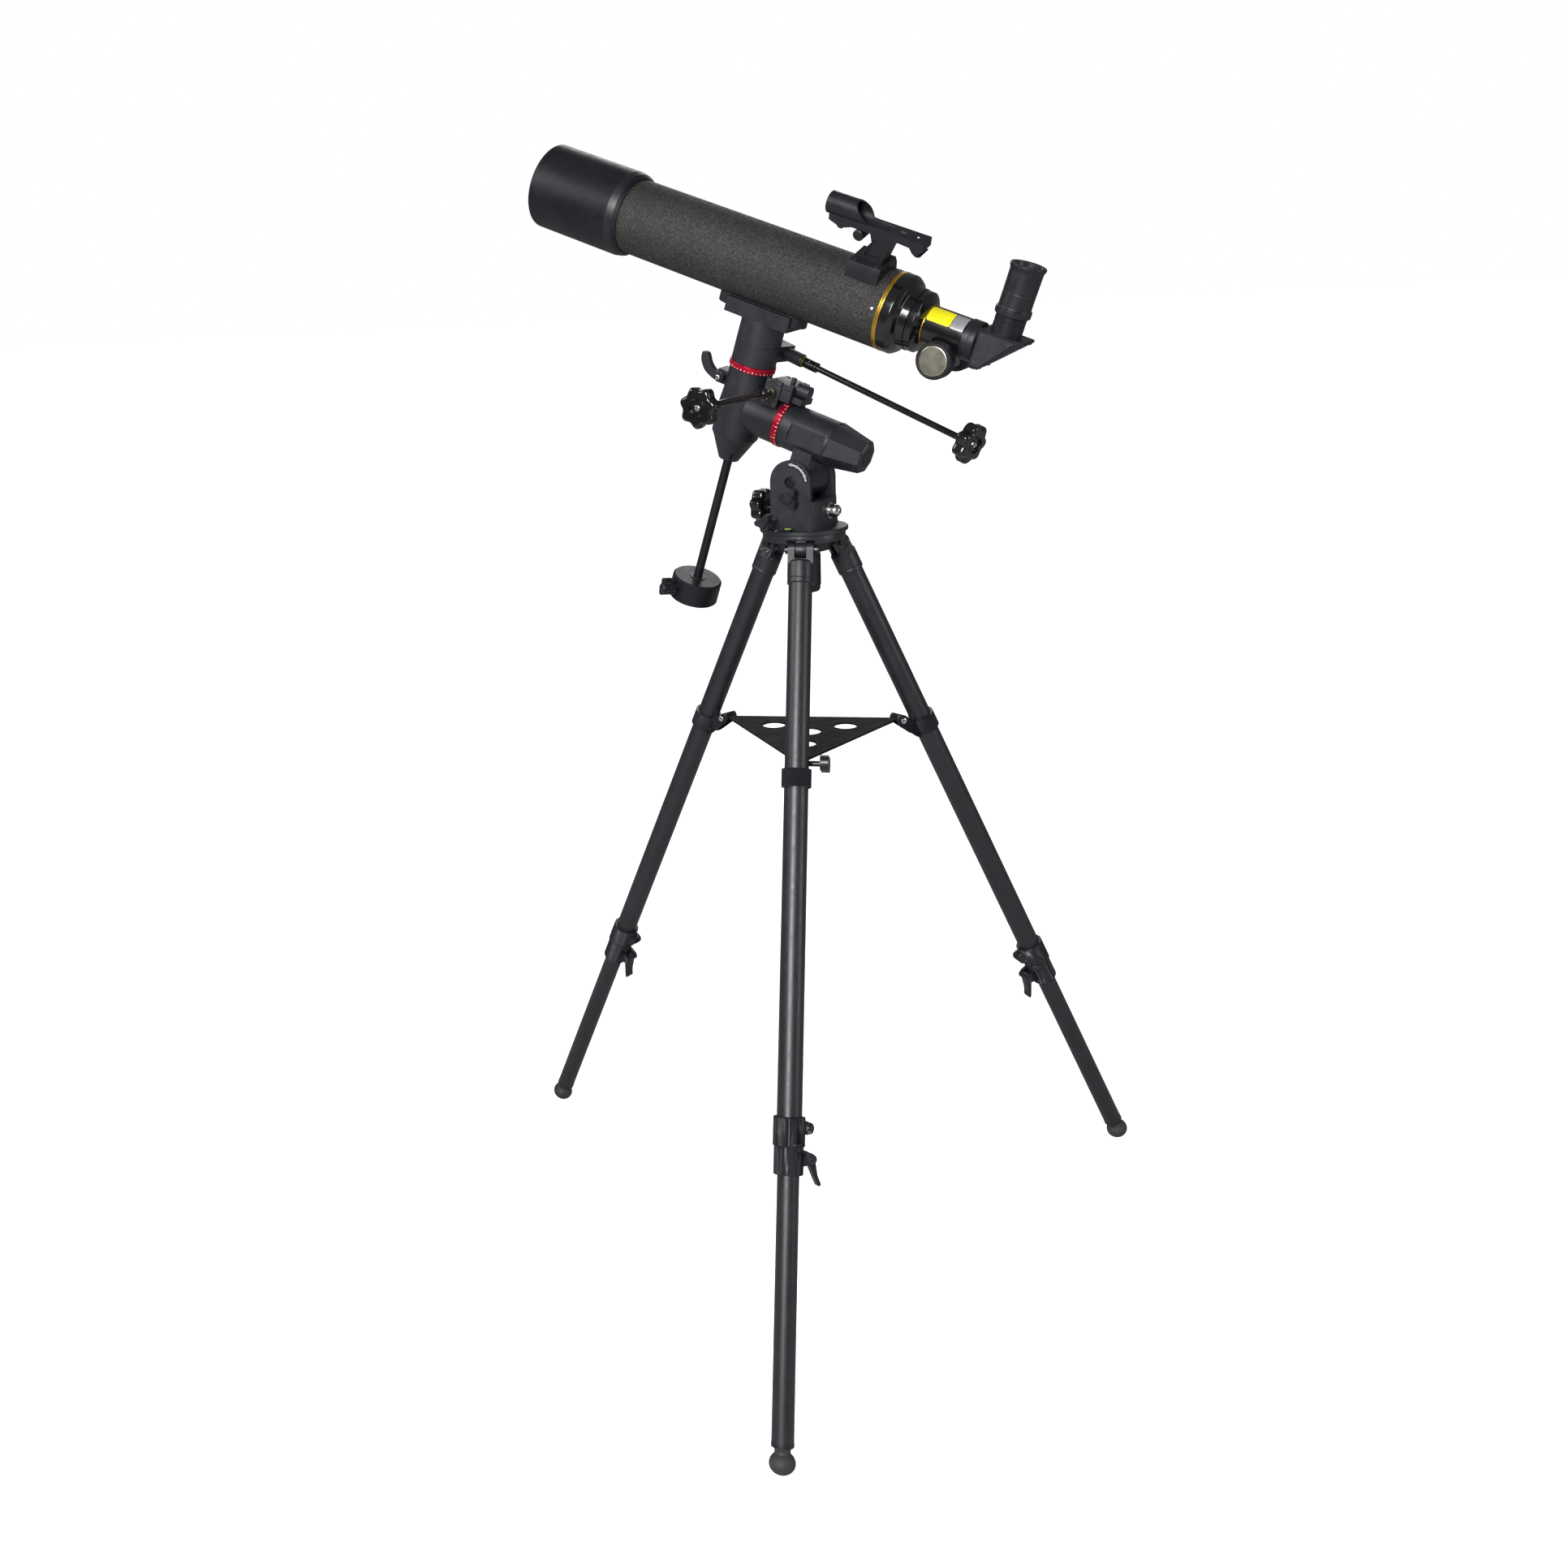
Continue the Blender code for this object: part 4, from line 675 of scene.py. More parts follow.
def build_tray(base):
    edge_turn = math.tan(math.radians(30.0))
    tongue_half, shoulder = 0.0042, 0.1205
    outline = []
    for azimuth in (-90.0, 30.0, 150.0):
        turn = Matrix.Rotation(math.radians(azimuth), 2)
        half = (TRAY_PIVOT_R - shoulder) * edge_turn
        for r, w in ((shoulder, -half), (shoulder + 0.0005, -tongue_half), (TRAY_PIVOT_R, -tongue_half),
                     (TRAY_PIVOT_R, tongue_half), (shoulder + 0.0005, tongue_half), (shoulder, half)):
            outline.append(tuple(turn @ Vector((r, w))))
    holes = [circle(0.0, 0.0, 0.017, 96)]
    for azimuth in LEG_AZIMUTHS.values():
        a = math.radians(azimuth)
        holes.append(circle(0.052 * math.cos(a), 0.052 * math.sin(a), TRAY_HOLE_R, 96))
    tray = plate("tray", base, [outline, *holes], TRAY_THICK, (0, 0, TRAY_HEIGHT))
    for azimuth in LEG_AZIMUTHS.values():
        arm = at(base, (0, 0, TRAY_HEIGHT), (0, 0, math.radians(azimuth)))
        eye = rod("tray_eye", arm, 0.0048, (TRAY_PIVOT_R, -0.0060, 0), (TRAY_PIVOT_R, 0.0060, 0))
        join(tray, eye)
        cut(tray, rod("tray_hole", arm, 0.0028, (TRAY_PIVOT_R, -0.02, 0), (TRAY_PIVOT_R, 0.02, 0),
                      sides=32))
    piece(tray, "accessory_tray", "tray_black", 0.0005)


def build_wing_bolt(leg):
    pivot_x, pivot_z = tray_pivot()
    hinge = at(leg, (pivot_x, 0, pivot_z))
    bolt = turned("wing_bolt", hinge, [
        (0.0, 0.0290), (0.0034, 0.0290), (0.0034, 0.0116), (0.0025, 0.0116), (0.0025, -0.0135),
        (0.0, -0.0135)], 48, rotation=ALONG_Y)
    wing = lobed(0.0185, 2, 0.0110, 96)
    join(bolt, plate("wing_grip", hinge, [wing], 0.0100, (0, 0.0305, 0), ALONG_Y))
    hub = turned("wing_boss", hinge, [(0.0, 0.0362), (0.0040, 0.0362), (0.0056, 0.0350), (0.0066, 0.0245),
                                      (0.0, 0.0245)], 48, rotation=ALONG_Y)
    join(bolt, hub)
    piece(bolt, "tray_wing_bolt", "dark_steel", 0.0014, 4)


# ---------------------------------------------------------------- mount: azimuth and latitude
def three_wing_knob(name, node, parent, radius, thick, shank_r, shank_to, location, rotation,
                    shank_finish=None):
    knob = turned(name, parent, [
        (0.0, thick), (radius * 0.42, thick), (radius * 0.5, thick - 0.001), (radius * 0.52, 0.0),
        (radius * 0.5, -0.002), (shank_r, -0.002), (shank_r, -shank_to), (0.0, -shank_to)], 48, location,
        rotation)
    here = at(parent, location, rotation)
    wings = plate(name + "_wings", here, [lobed(radius, 3, radius * 0.55, 120)], thick * 0.7,
                  (0, 0, thick * 0.45))
    join(knob, wings)
    piece(knob, node, "plastic", 0.0012, 4)
    if shank_finish:
        thread = []
        z = -0.0022
        while z > -shank_to + 0.0010:
            thread += [(shank_r + 0.00035, z), (shank_r + 0.00005, z - 0.0004)]
            z -= 0.0008
        sleeve = turned(node + "_thread", here, [(0.0, -0.0021), *thread, (0.0, z)], 40)
        detail(sleeve, node, shank_finish)


def lobed_grip(name, parent, radius, thick, middle):
    """A seven-lobed disc about Z whose rim is rounded over on both faces."""
    round_off, steps = min(0.0048, thick * 0.3), 8
    levels = []
    for i in range(steps + 1):
        angle = math.pi / 2 * (1 - i / steps)
        levels.append((round_off * (1 - math.cos(angle)), thick / 2 - round_off * (1 - math.sin(angle))))
    levels += [(inset, -height) for inset, height in reversed(levels)]
    outline = lobed(radius, 7, radius * 0.17, 196)
    bm = bmesh.new()
    rings = [[bm.verts.new((x * (1 - inset / radius), y * (1 - inset / radius), middle + height))
              for x, y in outline]
             for inset, height in levels]
    count = len(outline)
    for upper, lower in zip(rings, rings[1:]):
        for i in range(count):
            j = (i + 1) % count
            bm.faces.new((upper[i], lower[i], lower[j], upper[j]))
    for ring in (rings[0], rings[-1]):
        centre = bm.verts.new((0.0, 0.0, ring[0].co.z))
        for i in range(count):
            bm.faces.new((centre, ring[i], ring[(i + 1) % count]))
    return place(mesh_from(bm, name), parent)


def hand_knob(name, node, parent, radius, thick, base_profile, location, rotation):
    """A glossy seven-lobed hand knob, with a recessed screw in its face."""
    knob = turned(name, parent, [(0.0, thick), (radius * 0.42, thick), (radius * 0.46, thick * 0.8),
                                 (radius * 0.46, 0.001), *base_profile], 64, location, rotation)
    here = at(parent, location, rotation)
    join(knob, lobed_grip(name + "_grip", here, radius, thick * 1.02, thick * 0.40))
    dish = thick * 0.82
    well = turned(name + "_well", here, [(0.0, thick * 1.3), (radius * 0.42, thick * 1.3),
                                         (radius * 0.36, dish), (0.0, dish)], 64)
    cut(knob, well)
    piece(knob, node, "gloss_black", 0.0005, 3)
    cross_screw(node + "_screw", here, (0, 0, dish), (0, 0, 0), radius * 0.15, node, "steel", 0.0014)


def build_yoke(azimuth):
    rise = PIVOT_HEIGHT - DISC_TOP
    low = DISC_TOP - 0.001
    yoke = turned("yoke_casting", azimuth, [
        (0.0, DISC_TOP), (DISC_R - 0.001, DISC_TOP), (DISC_R, DISC_TOP - 0.001),
        (DISC_R, DISC_BOTTOM + 0.001), (DISC_R - 0.001, DISC_BOTTOM), (0.0, DISC_BOTTOM)], 128)
    cheek = [(-0.0285, low - PIVOT_HEIGHT), (0.0275, low - PIVOT_HEIGHT), (0.0262, -rise * 0.45),
             *arc(0.0, 0.0, 0.0262, 0.0, 180.0, 48), (-0.0262, -rise * 0.45)]
    wide = YOKE_HALF - YOKE_INNER
    for sign in (1, -1):
        join(yoke, plate("cheek", azimuth, [cheek], wide, (0, sign * (YOKE_INNER + wide / 2), PIVOT_HEIGHT),
                         SIDE_ON))
    rear = plate("yoke_rear", azimuth, [[(-0.034, -0.020), (-0.034, 0.020), (-0.0275, 0.0345),
                                         (-0.0200, 0.0345), (-0.0200, -0.0345), (-0.0275, -0.0345)]],
                 0.0350, (0, 0, DISC_TOP + 0.0165))
    front = box("yoke_front", azimuth, (0.0180, -0.0345, low), (0.0260, 0.0345, 0.9680))
    join(yoke, rear, front)
    cut(yoke,
        rod("yoke_bore", azimuth, 0.0060, (0, -0.06, PIVOT_HEIGHT), (0, 0.06, PIVOT_HEIGHT)),
        rod("thread_front", azimuth, 0.0043, (0.010, 0, 0.956), (0.050, 0, 0.956), sides=32),
        rod("thread_rear", azimuth, 0.0043, (-0.050, 0, 0.953), (-0.010, 0, 0.953), sides=32),
        rod("thread_lock", azimuth, 0.0033, (0.0205, 0.020, 0.9450), (0.0205, 0.050, 0.9450), sides=32),
        rod("thread_wing", azimuth, 0.0033, (-0.0030, 0.024, 0.9725), (-0.0030, 0.050, 0.9725), sides=32))
    piece(yoke, "yoke", "casting", 0.0009, 3)

    for sign, label in ((1, "near"), (-1, "far")):
        face = at(azimuth, (0, sign * (YOKE_HALF + 0.0002), PIVOT_HEIGHT), (-sign * math.pi / 2, 0, 0))
        band = [*arc(0, 0, 0.0242, 182.0, 272.0, 40), *arc(0, 0, 0.0176, 272.0, 182.0, 40)]
        if sign < 0:
            band = [(x, -y) for x, y in reversed(band)]
        scale_plate = plate("latitude_scale_" + label, face, [band], 0.0004)
        detail(scale_plate, "yoke", "satin_black")
        bm = bmesh.new()
        for degrees in range(4, 90, 4):
            reach = 0.0040 if degrees % 20 == 0 else 0.0024
            angle = math.radians(182.0 + degrees)
            turn = Matrix.Rotation(angle if sign > 0 else -angle, 4, "Z")
            add_block(bm, turn @ Matrix.Translation((0.0212, 0, 0.00024)), (reach, 0.00070, 0.00012))
        detail(place(mesh_from(bm, "latitude_marks_" + label), face), "yoke", "white_mark")
        washer = tube("pivot_recess_" + label, face, 0.0072, 0.0058, 0.0004, -0.0004, 64)
        detail(washer, "yoke", "satin_black", 0.0001)
    pointer = plate("azimuth_pointer", azimuth, [[(-0.0016, 0.0), (0.0016, 0.0), (0.0, 0.0050)]], 0.0003,
                    (0.0130, 0.0465, DISC_TOP + 0.0002))
    detail(pointer, "yoke", "white_mark")


def build_azimuth_parts(azimuth):
    build_yoke(azimuth)
    three_wing_knob("azimuth_lock", "azimuth_lock_screw", azimuth, 0.0110, 0.0180, 0.0029, 0.0300,
                    (0.0205, 0.0545, 0.9450), ALONG_Y, "steel")
    three_wing_knob("latitude_lock", "latitude_lock_screw", azimuth, 0.0130, 0.0120, 0.0029, 0.0085,
                    (-0.0030, 0.0395, 0.9725), ALONG_Y)
    neck = [(0.0085, 0.001)]
    for i in range(4):
        z = -0.0010 - 0.0024 * i
        neck += [(0.0085, z), (0.0094, z - 0.0006), (0.0085, z - 0.0012), (0.0078, z - 0.0018)]
    hand_knob("latitude_hand", "latitude_hand_screw", azimuth, 0.0215, 0.0160,
              [*neck, (0.0078, -0.0108), (0.0040, -0.011), (0.0040, -0.029), (0.0, -0.029)],
              (0.0500, 0, 0.956), ALONG_X)
    rear = at(azimuth, (-0.0345, 0, 0.953), (0.0, -math.pi / 2, 0.0))
    bolt = turned("rear_bolt", rear, [
        (0.0, 0.0140), (0.0030, 0.0138), (0.0048, 0.0130), (0.0070, 0.0105), (0.0078, 0.0070),
        (0.0078, 0.0012), (0.0100, 0.0010), (0.0100, 0.0), (0.0040, 0.0), (0.0040, -0.0140),
        (0.0, -0.0140)], 72)
    hex_socket(bolt, rear, 0.0030, 0.0095, 0.03)
    piece(bolt, "latitude_rear_bolt", "steel", 0.0003)

    level_at = (-0.0005, 0.0445, DISC_TOP + GAP)
    level = turned("level", azimuth, [
        (0.0, 0.0032), (0.0022, 0.0031), (0.0038, 0.0026), (0.0044, 0.0020), (0.0044, 0.0), (0.0, 0.0)], 56,
        level_at)
    piece(level, "bubble_level", "bubble", 0.0001)
    rim = tube("level_rim", azimuth, 0.0053, 0.0044, 0.0022, 0.0, 56, location=level_at)
    detail(rim, "bubble_level", "satin_black", 0.0002)
    ring = tube("level_ring", azimuth, 0.0017, 0.0014, 0.0033, 0.0030, 40, location=level_at)
    detail(ring, "bubble_level", "dark_inside")
    pivot = rod("pivot", azimuth, 0.0056, (0, -0.0345, PIVOT_HEIGHT), (0, 0.0345, PIVOT_HEIGHT))
    piece(pivot, "latitude_pivot_bolt", "dark_inside", 0.0004)
    for sign, label in ((1, "near"), (-1, "far")):
        socket = tube("pivot_socket_" + label, azimuth, 0.0050, 0.0032, 0.0006, -0.0002, 48,
                      location=(0, sign * 0.0346, PIVOT_HEIGHT), rotation=(-sign * math.pi / 2, 0, 0))
        detail(socket, "latitude_pivot_bolt", "satin_black", 0.0002)


# ---------------------------------------------------------------- mount: polar axis
def build_polar_housing(polar):
    front, taper, end = -0.0665, -0.1300, -0.1740
    pivot = (-CROSSING[0], 0.0, -CROSSING[2])
    housing = turned("polar_casting", polar, [
        (0.0, front), (POLAR_R, front), (POLAR_R, taper - 0.001), (0.0, taper - 0.001)], 128,
        rotation=ALONG_X)
    axis = Vector((end - taper, 0, 0)).to_track_quat("Z", "Y").to_euler()
    axis.rotate_axis("Z", math.radians(22.5))
    length = taper - end
    snout = turned("polar_snout", polar, [
        (0.0, length), (0.0205 * 0.90, length), (0.0205, length - 0.002), (POLAR_R * 1.035, 0.0),
        (0.0, 0.0)], 8,
        (taper, 0, 0), axis)
    join(housing, snout)
    for sign in (1, -1):
        low, high = sorted((sign * 0.0250, sign * 0.0400))
        cut(housing, box("polar_flat", polar, (-0.1270, low, -0.03), (-0.0800, high, 0.03)))
    neck = box("polar_neck", polar, (pivot[0] - 0.0125, -0.0270, pivot[2]),
               (pivot[0] + 0.0125, 0.0270, -0.0150))
    barrel = rod("polar_barrel", polar, 0.0220, (pivot[0], -0.0296, pivot[2]), (pivot[0], 0.0296, pivot[2]),
                 sides=80)
    join(housing, neck, barrel)
    cut(housing, rod("polar_bore", polar, SHAFT_R + GAP, (-0.1550, 0, 0), (-0.0500, 0, 0)),
        rod("polar_pivot_hole", polar, 0.0060, (pivot[0], -0.05, pivot[2]), (pivot[0], 0.05, pivot[2])))
    piece(housing, "polar_housing", "casting", 0.0009, 3)
    plug = turned("polar_end_plug", polar, [
        (0.0, 0.0006), (0.0100, 0.0006), (0.0110, 0.0), (0.0110, -0.0004), (0.0, -0.0004)], 64,
        (end, 0, 0), (0, -math.pi / 2, 0))
    detail(plug, "polar_housing", "satin_black", 0.0001)


def setting_circle(name, node, parent, low, high, rotation, step, numbered):
    """A red ring with bevelled edges and white divisions, with numbers if asked."""
    ring = turned(name, parent, [
        (CIRCLE_R - 0.0006, high), (CIRCLE_R, high - 0.0006), (CIRCLE_R, low + 0.0006),
        (CIRCLE_R - 0.0006, low), (0.0150, low), (0.0150, high)], 128, rotation=rotation, ring=True)
    piece(ring, node, "red", 0.0002)
    here = at(parent, (0, 0, 0), rotation)
    marks = dial_marks(node + "_marks", here, CIRCLE_R + 0.00002, low + 0.0012, high - 0.0006, step, 30,
                       numbered)
    detail(marks, node, "white_mark")


def build_polar_parts(polar):
    build_polar_housing(polar)
    setting_circle("polar_circle", "polar_setting_circle", polar, -0.0662, -0.0575, ALONG_X, 10, True)

    node = "polar_worm_block"
    block = box("worm_block", polar, (-0.0680, -0.0220, 0.0300), (-0.0360, 0.0235, 0.0500))
    flange = box("block_flange", polar, (-0.0800, -0.0150, 0.0305), (-0.0600, 0.0150, 0.0380))
    face = box("block_face", polar, (-0.0545, 0.0225, 0.0190), (-0.0335, 0.0262, 0.0515))
    post = rod("block_post", polar, 0.0060, (-0.0735, 0, 0.0278), (-0.0735, 0, 0.0340))
    lock = rod("block_cap", polar, 0.0082, (-0.0670, 0.0060, 0.0465), (-0.0840, 0.0060, 0.0465))
    bolt = rod("block_bolt", polar, 0.0035, (-0.0560, 0.0, 0.0490), (-0.0560, 0.0, 0.0560), sides=6)
    worm = at(polar, (-0.0440, 0.0, 0.0365), (POLAR_WORM_TURN, 0, 0))
    bush = rod("worm_bush", worm, 0.0070, (0, 0, 0.0230), (0, 0, 0.0300))
    join(block, flange, face, post, lock, bolt, bush)
    cut(block, rod("worm_bore", worm, 0.0046, (0, 0, -0.0100), (0, 0, 0.05)),
        box("block_groove", polar, (-0.0700, -0.0232, 0.0440), (-0.0580, 0.0243, 0.0448)))
    piece(block, node, "casting", 0.0008, 3)
    for index, (x, z) in enumerate(((-0.0510, 0.0225), (-0.0370, 0.0225), (-0.0510, 0.0480),
                                    (-0.0370, 0.0480))):
        cross_screw("block_face_screw_%d" % index, polar, (x, 0.0262, z), ALONG_Y, 0.0019, node,
                    "dark_steel", 0.0009)
    for index, (x, y) in enumerate(((-0.0640, 0.0170), (-0.0640, -0.0160), (-0.0410, 0.0170),
                                    (-0.0410, -0.0160))):
        cross_screw("block_top_screw_%d" % index, polar, (x, y, 0.0500), (0, 0, 0), 0.0021, node,
                    "dark_steel", 0.0010)
    brass = tube("polar_brass_bush", worm, 0.0056, 0.0047, 0.0306, 0.0296, 48)
    detail(brass, node, "brass", 0.0001)
    return worm


def build_slow_control(name, worm, reach, knob_r, sleeve_start, sleeve_end):
    """A worm shaft along +Z with its coupling sleeve, rod and hand knob."""
    hand_knob(name + "_knob", name, worm, knob_r, 0.0160, [
        (0.0060, 0.001), (0.0064, -0.002), (0.0060, -0.006), (0.0037, -0.008), (0.0037, sleeve_end - reach),
        (0.0058, sleeve_end - reach - 0.0003), (0.0062, sleeve_end - reach - 0.001),
        (0.0062, sleeve_start - reach), (0.0042, sleeve_start - reach), (0.0042, 0.0060 - reach),
        (0.0, 0.0060 - reach)], (0, 0, reach), (0, 0, 0))
    middle = (sleeve_start + sleeve_end) / 2
    for index, turn in enumerate((0.0, 2.3, 4.1)):
        spot = at(worm, (0, 0, middle), (0, 0, turn)) @ Matrix.Translation((0.0061, 0, 0))
        screw = turned("%s_set_screw_%d" % (name, index), spot, [
            (0.0, 0.0005), (0.0013, 0.0005), (0.0016, -0.0003), (0.0, -0.0003)], 32, rotation=ALONG_X)
        detail(screw, name, "steel", 0.0001)
    band = tube(name + "_band", worm, 0.0064, 0.0060, sleeve_start + 0.0030, sleeve_start + 0.0016, 48)
    detail(band, name, "brass", 0.0001)


# ---------------------------------------------------------------- mount: declination axis
def build_declination_parts(dec):
    neck_top = 0.0488
    housing = turned("dec_casting", dec, [
        (0.0268, neck_top), (0.0268, 0.0250), (0.0290, 0.0020), (0.0290, -0.0360), (0.0255, -0.0420),
        (0.0128, -0.0690), (SHAFT_R + GAP, -0.0690), (SHAFT_R + GAP, neck_top)], 128, ring=True)
    stub = rod("dec_stub", dec, POLAR_R, (-0.0571, 0, 0), (-0.0150, 0, 0), sides=128)
    bore = rod("dec_bore", dec, SHAFT_R + GAP, (0, 0, -0.08), (0, 0, 0.06), sides=128)
    shaft = rod("polar_shaft", dec, SHAFT_R, (-0.1500, 0, 0), (-0.0500, 0, 0))
    ear = box("dec_ear", dec, (0.0200, -0.0095, 0.0200), (0.0380, 0.0105, 0.0370))
    join(housing, stub, ear)
    cut(housing, bore)
    for i in range(4):
        slot = box("cone_slot", at(dec, (0, 0, 0), (0, 0, math.radians(35 + 90 * i))),
                   (0.0098, -0.0010, -0.0720), (0.0300, 0.0010, -0.0560))
        cut(housing, slot)
    join(housing, shaft)
    piece(housing, "declination_housing", "casting", 0.0009, 3)
    seam = tube("dec_seam", dec, 0.02695, 0.0262, neck_top - 0.0016, neck_top - 0.0024, 128)
    detail(seam, "declination_housing", "satin_black")
    cap = turned("dec_front_cap", dec, [(0.0, 0.0014), (0.0125, 0.0014), (0.0140, 0.0), (0.0140, -0.0030),
                                        (0.0, -0.0030)], 72, (0.0290, 0, -0.0140), ALONG_X)
    detail(cap, "declination_housing", "satin_black", 0.0003)

    setting_circle("dec_circle", "declination_setting_circle", dec, 0.0492, 0.0567, (0, 0, 0), 10, False)
    node = "declination_worm_housing"
    lower = turned("dec_worm_casting", dec, [
        (0.0, 0.0770), (0.0160, 0.0770), (0.0160, 0.0820), (0.0272, 0.0820), (0.0272, 0.0571),
        (SHAFT_R, 0.0571), (SHAFT_R, -0.0560), (0.0, -0.0560)], 128)
    worm = at(dec, (-0.0073, -0.0347, 0.0720), (math.pi / 2, 0.0, WORM_TURN))
    boss = box("dec_boss", worm, (-0.0180, -0.0100, -0.0200), (0.0110, 0.0095, 0.0200))
    port = rod("dec_port", worm, 0.0080, (0, 0, 0.0190), (0, 0, 0.0440))
    join(lower, boss, port)
    cut(lower, rod("dec_worm_bore", worm, 0.0046, (0, 0, 0.0020), (0, 0, 0.05)))
    piece(lower, node, "casting", 0.0008, 3)
    brass = tube("dec_brass_bush", worm, 0.0064, 0.0047, 0.0446, 0.0436, 48)
    detail(brass, node, "brass", 0.0001)
    return worm


def build_clamp_lever(dec):
    pivot = at(dec, (0.0315, 0.0108, 0.0290), ALONG_Y)
    lever = turned("clutch", pivot, [
        (0.0, 0.0100), (0.0040, 0.0100), (0.0050, 0.0085), (0.0062, 0.0075), (0.0062, 0.0), (0.0, 0.0)], 56)
    path = [(-0.0010, -0.0058), (0.0085, -0.0068), (0.0155, -0.0125), (0.0215, -0.0235), (0.0300, -0.0235),
            (0.0295, -0.0125), (0.0215, -0.0015), (0.0115, 0.0032), (0.0010, 0.0058)]
    handle = plate("clutch_handle", pivot, [soft_corners(path, 0.0050, 8)], 0.0066, (0, 0, 0.0045))
    join(lever, handle)
    piece(lever, "declination_clamp_lever", "casting", 0.0012, 4)
    cross_screw("clutch_screw", pivot, (0, 0, 0.0100), (0, 0, 0), 0.0032, "declination_clamp_lever")


def build_counterweight(dec):
    rod_end, weight_top, weight_bottom = -0.2635, -0.2360, -0.2665
    shaft = turned("weight_shaft", dec, [
        (0.0, -0.0600), (0.0056, -0.0600), (0.0056, rod_end + 0.001), (0.0046, rod_end), (0.0, rod_end)],
        56)
    piece(shaft, "counterweight_shaft", "satin_black", 0.0002)
    bore = 0.0060
    weight = turned("weight", dec, [
        (0.0298, weight_top), (0.0320, weight_top - 0.0022), (0.0320, weight_bottom + 0.0022),
        (0.0298, weight_bottom), (bore, weight_bottom), (bore, weight_top)], 144, ring=True)
    middle = (weight_top + weight_bottom) / 2
    spoke = at(dec, (0, 0, middle), (math.pi / 2, 0.0, math.radians(62.0) + math.pi / 2))
    cut(weight, rod("weight_thread", spoke, 0.0034, (0, 0, 0.004), (0, 0, 0.05), sides=32))
    piece(weight, "counterweight", "satin_black", 0.0007, 3)
    collar = tube("weight_bush", dec, 0.0105, 0.0061, weight_top + 0.0008, weight_top - 0.0004, 64)
    detail(collar, "counterweight", "casting", 0.0002)
    boss = tube("weight_boss", spoke, 0.0066, 0.0042, 0.0326, 0.0310, 48)
    detail(boss, "counterweight", "satin_black", 0.0003)
    three_wing_knob("weight_lock", "counterweight_lock_screw", spoke, 0.0132, 0.0160, 0.0030, 0.0280,
                    (0, 0, 0.0350), (0, 0, 0))


def build_saddle(dec):
    half_long, half_wide, floor, top = 0.0430, 0.0250, 0.1160, 0.1285
    saddle = turned("saddle", dec, [
        (0.0, 0.1120), (0.0268, 0.1120), (0.0272, 0.0823), (0.0150, 0.0823), (0.0150, 0.0776),
        (0.0, 0.0776)], 128)
    block = box("saddle_block", dec, (-half_long, -half_wide, 0.1105), (half_long, half_wide, top))
    channel = box("saddle_channel", dec, (-0.06, -0.0180, floor), (0.06, 0.0180, 0.15))
    thread = rod("saddle_thread", dec, 0.0028, (-0.0250, -0.05, 0.1215), (-0.0250, -0.01, 0.1215), sides=32)
    join(saddle, block)
    cut(saddle, channel, thread)
    piece(saddle, "tube_saddle", "casting", 0.0014, 4)
    three_wing_knob("saddle_clamp", "saddle_clamp_screw", dec, 0.0105, 0.0120, 0.0025, 0.0090,
                    (-0.0250, -0.0275, 0.1215), SIDE_ON)


# ---------------------------------------------------------------- optical tube
def build_foot_bar(ota):
    low, high = 0.1163 - TUBE_AXIS, -0.0360
    ends = [*arc(0.0460, 0.0, 0.0177, -90.0, 90.0, 32), *arc(-0.0360, 0.0, 0.0177, 90.0, 270.0, 32)]
    bar = plate("foot_bar", ota, [ends], high - low, (0.0, 0.0, (low + high) / 2))
    cut(bar, rod("foot_bar_hollow", ota, TUBE_R + GAP, (-0.15, 0, 0), (0.15, 0, 0), sides=160))
    piece(bar, "tube_foot_bar", "plastic", 0.0008, 3)


def around(parent, along, degrees, radius):
    """Axes on the tube's surface: Z out of it, X along it; 0 degrees is up and 90 the near side."""
    turn = math.radians(degrees)
    turned_to = parent @ Matrix.Translation((along, 0, 0)) @ Matrix.Rotation(-turn, 4, "X")
    return turned_to @ Matrix.Translation((0, 0, radius))


def curved_label(name, ota, radius, along_low, along_high, middle, half_angle, corner):
    """A thin label wrapped on a tube along X, with rounded corners; middle and half_angle in degrees."""
    half_width = radius * math.radians(half_angle)
    flat = soft_corners([(along_low, -half_width), (along_high, -half_width), (along_high, half_width),
                         (along_low, half_width)], corner, 7)
    bm = bmesh.new()
    bm.from_mesh(outline_mesh(name, [flat], 0.00016))
    slices = [half_width * (2.0 * i / 24 - 1.0) for i in range(1, 24)]
    for y in slices:
        geometry = bm.verts[:] + bm.edges[:] + bm.faces[:]
        bmesh.ops.bisect_plane(bm, geom=geometry, plane_co=(0, y, 0), plane_no=(0, 1, 0))
    for vert in bm.verts:
        angle = math.radians(middle) + vert.co.y / radius
        r = radius + vert.co.z
        vert.co = (vert.co.x, r * math.sin(angle), r * math.cos(angle))
    return place(mesh_from(bm, name), ota)


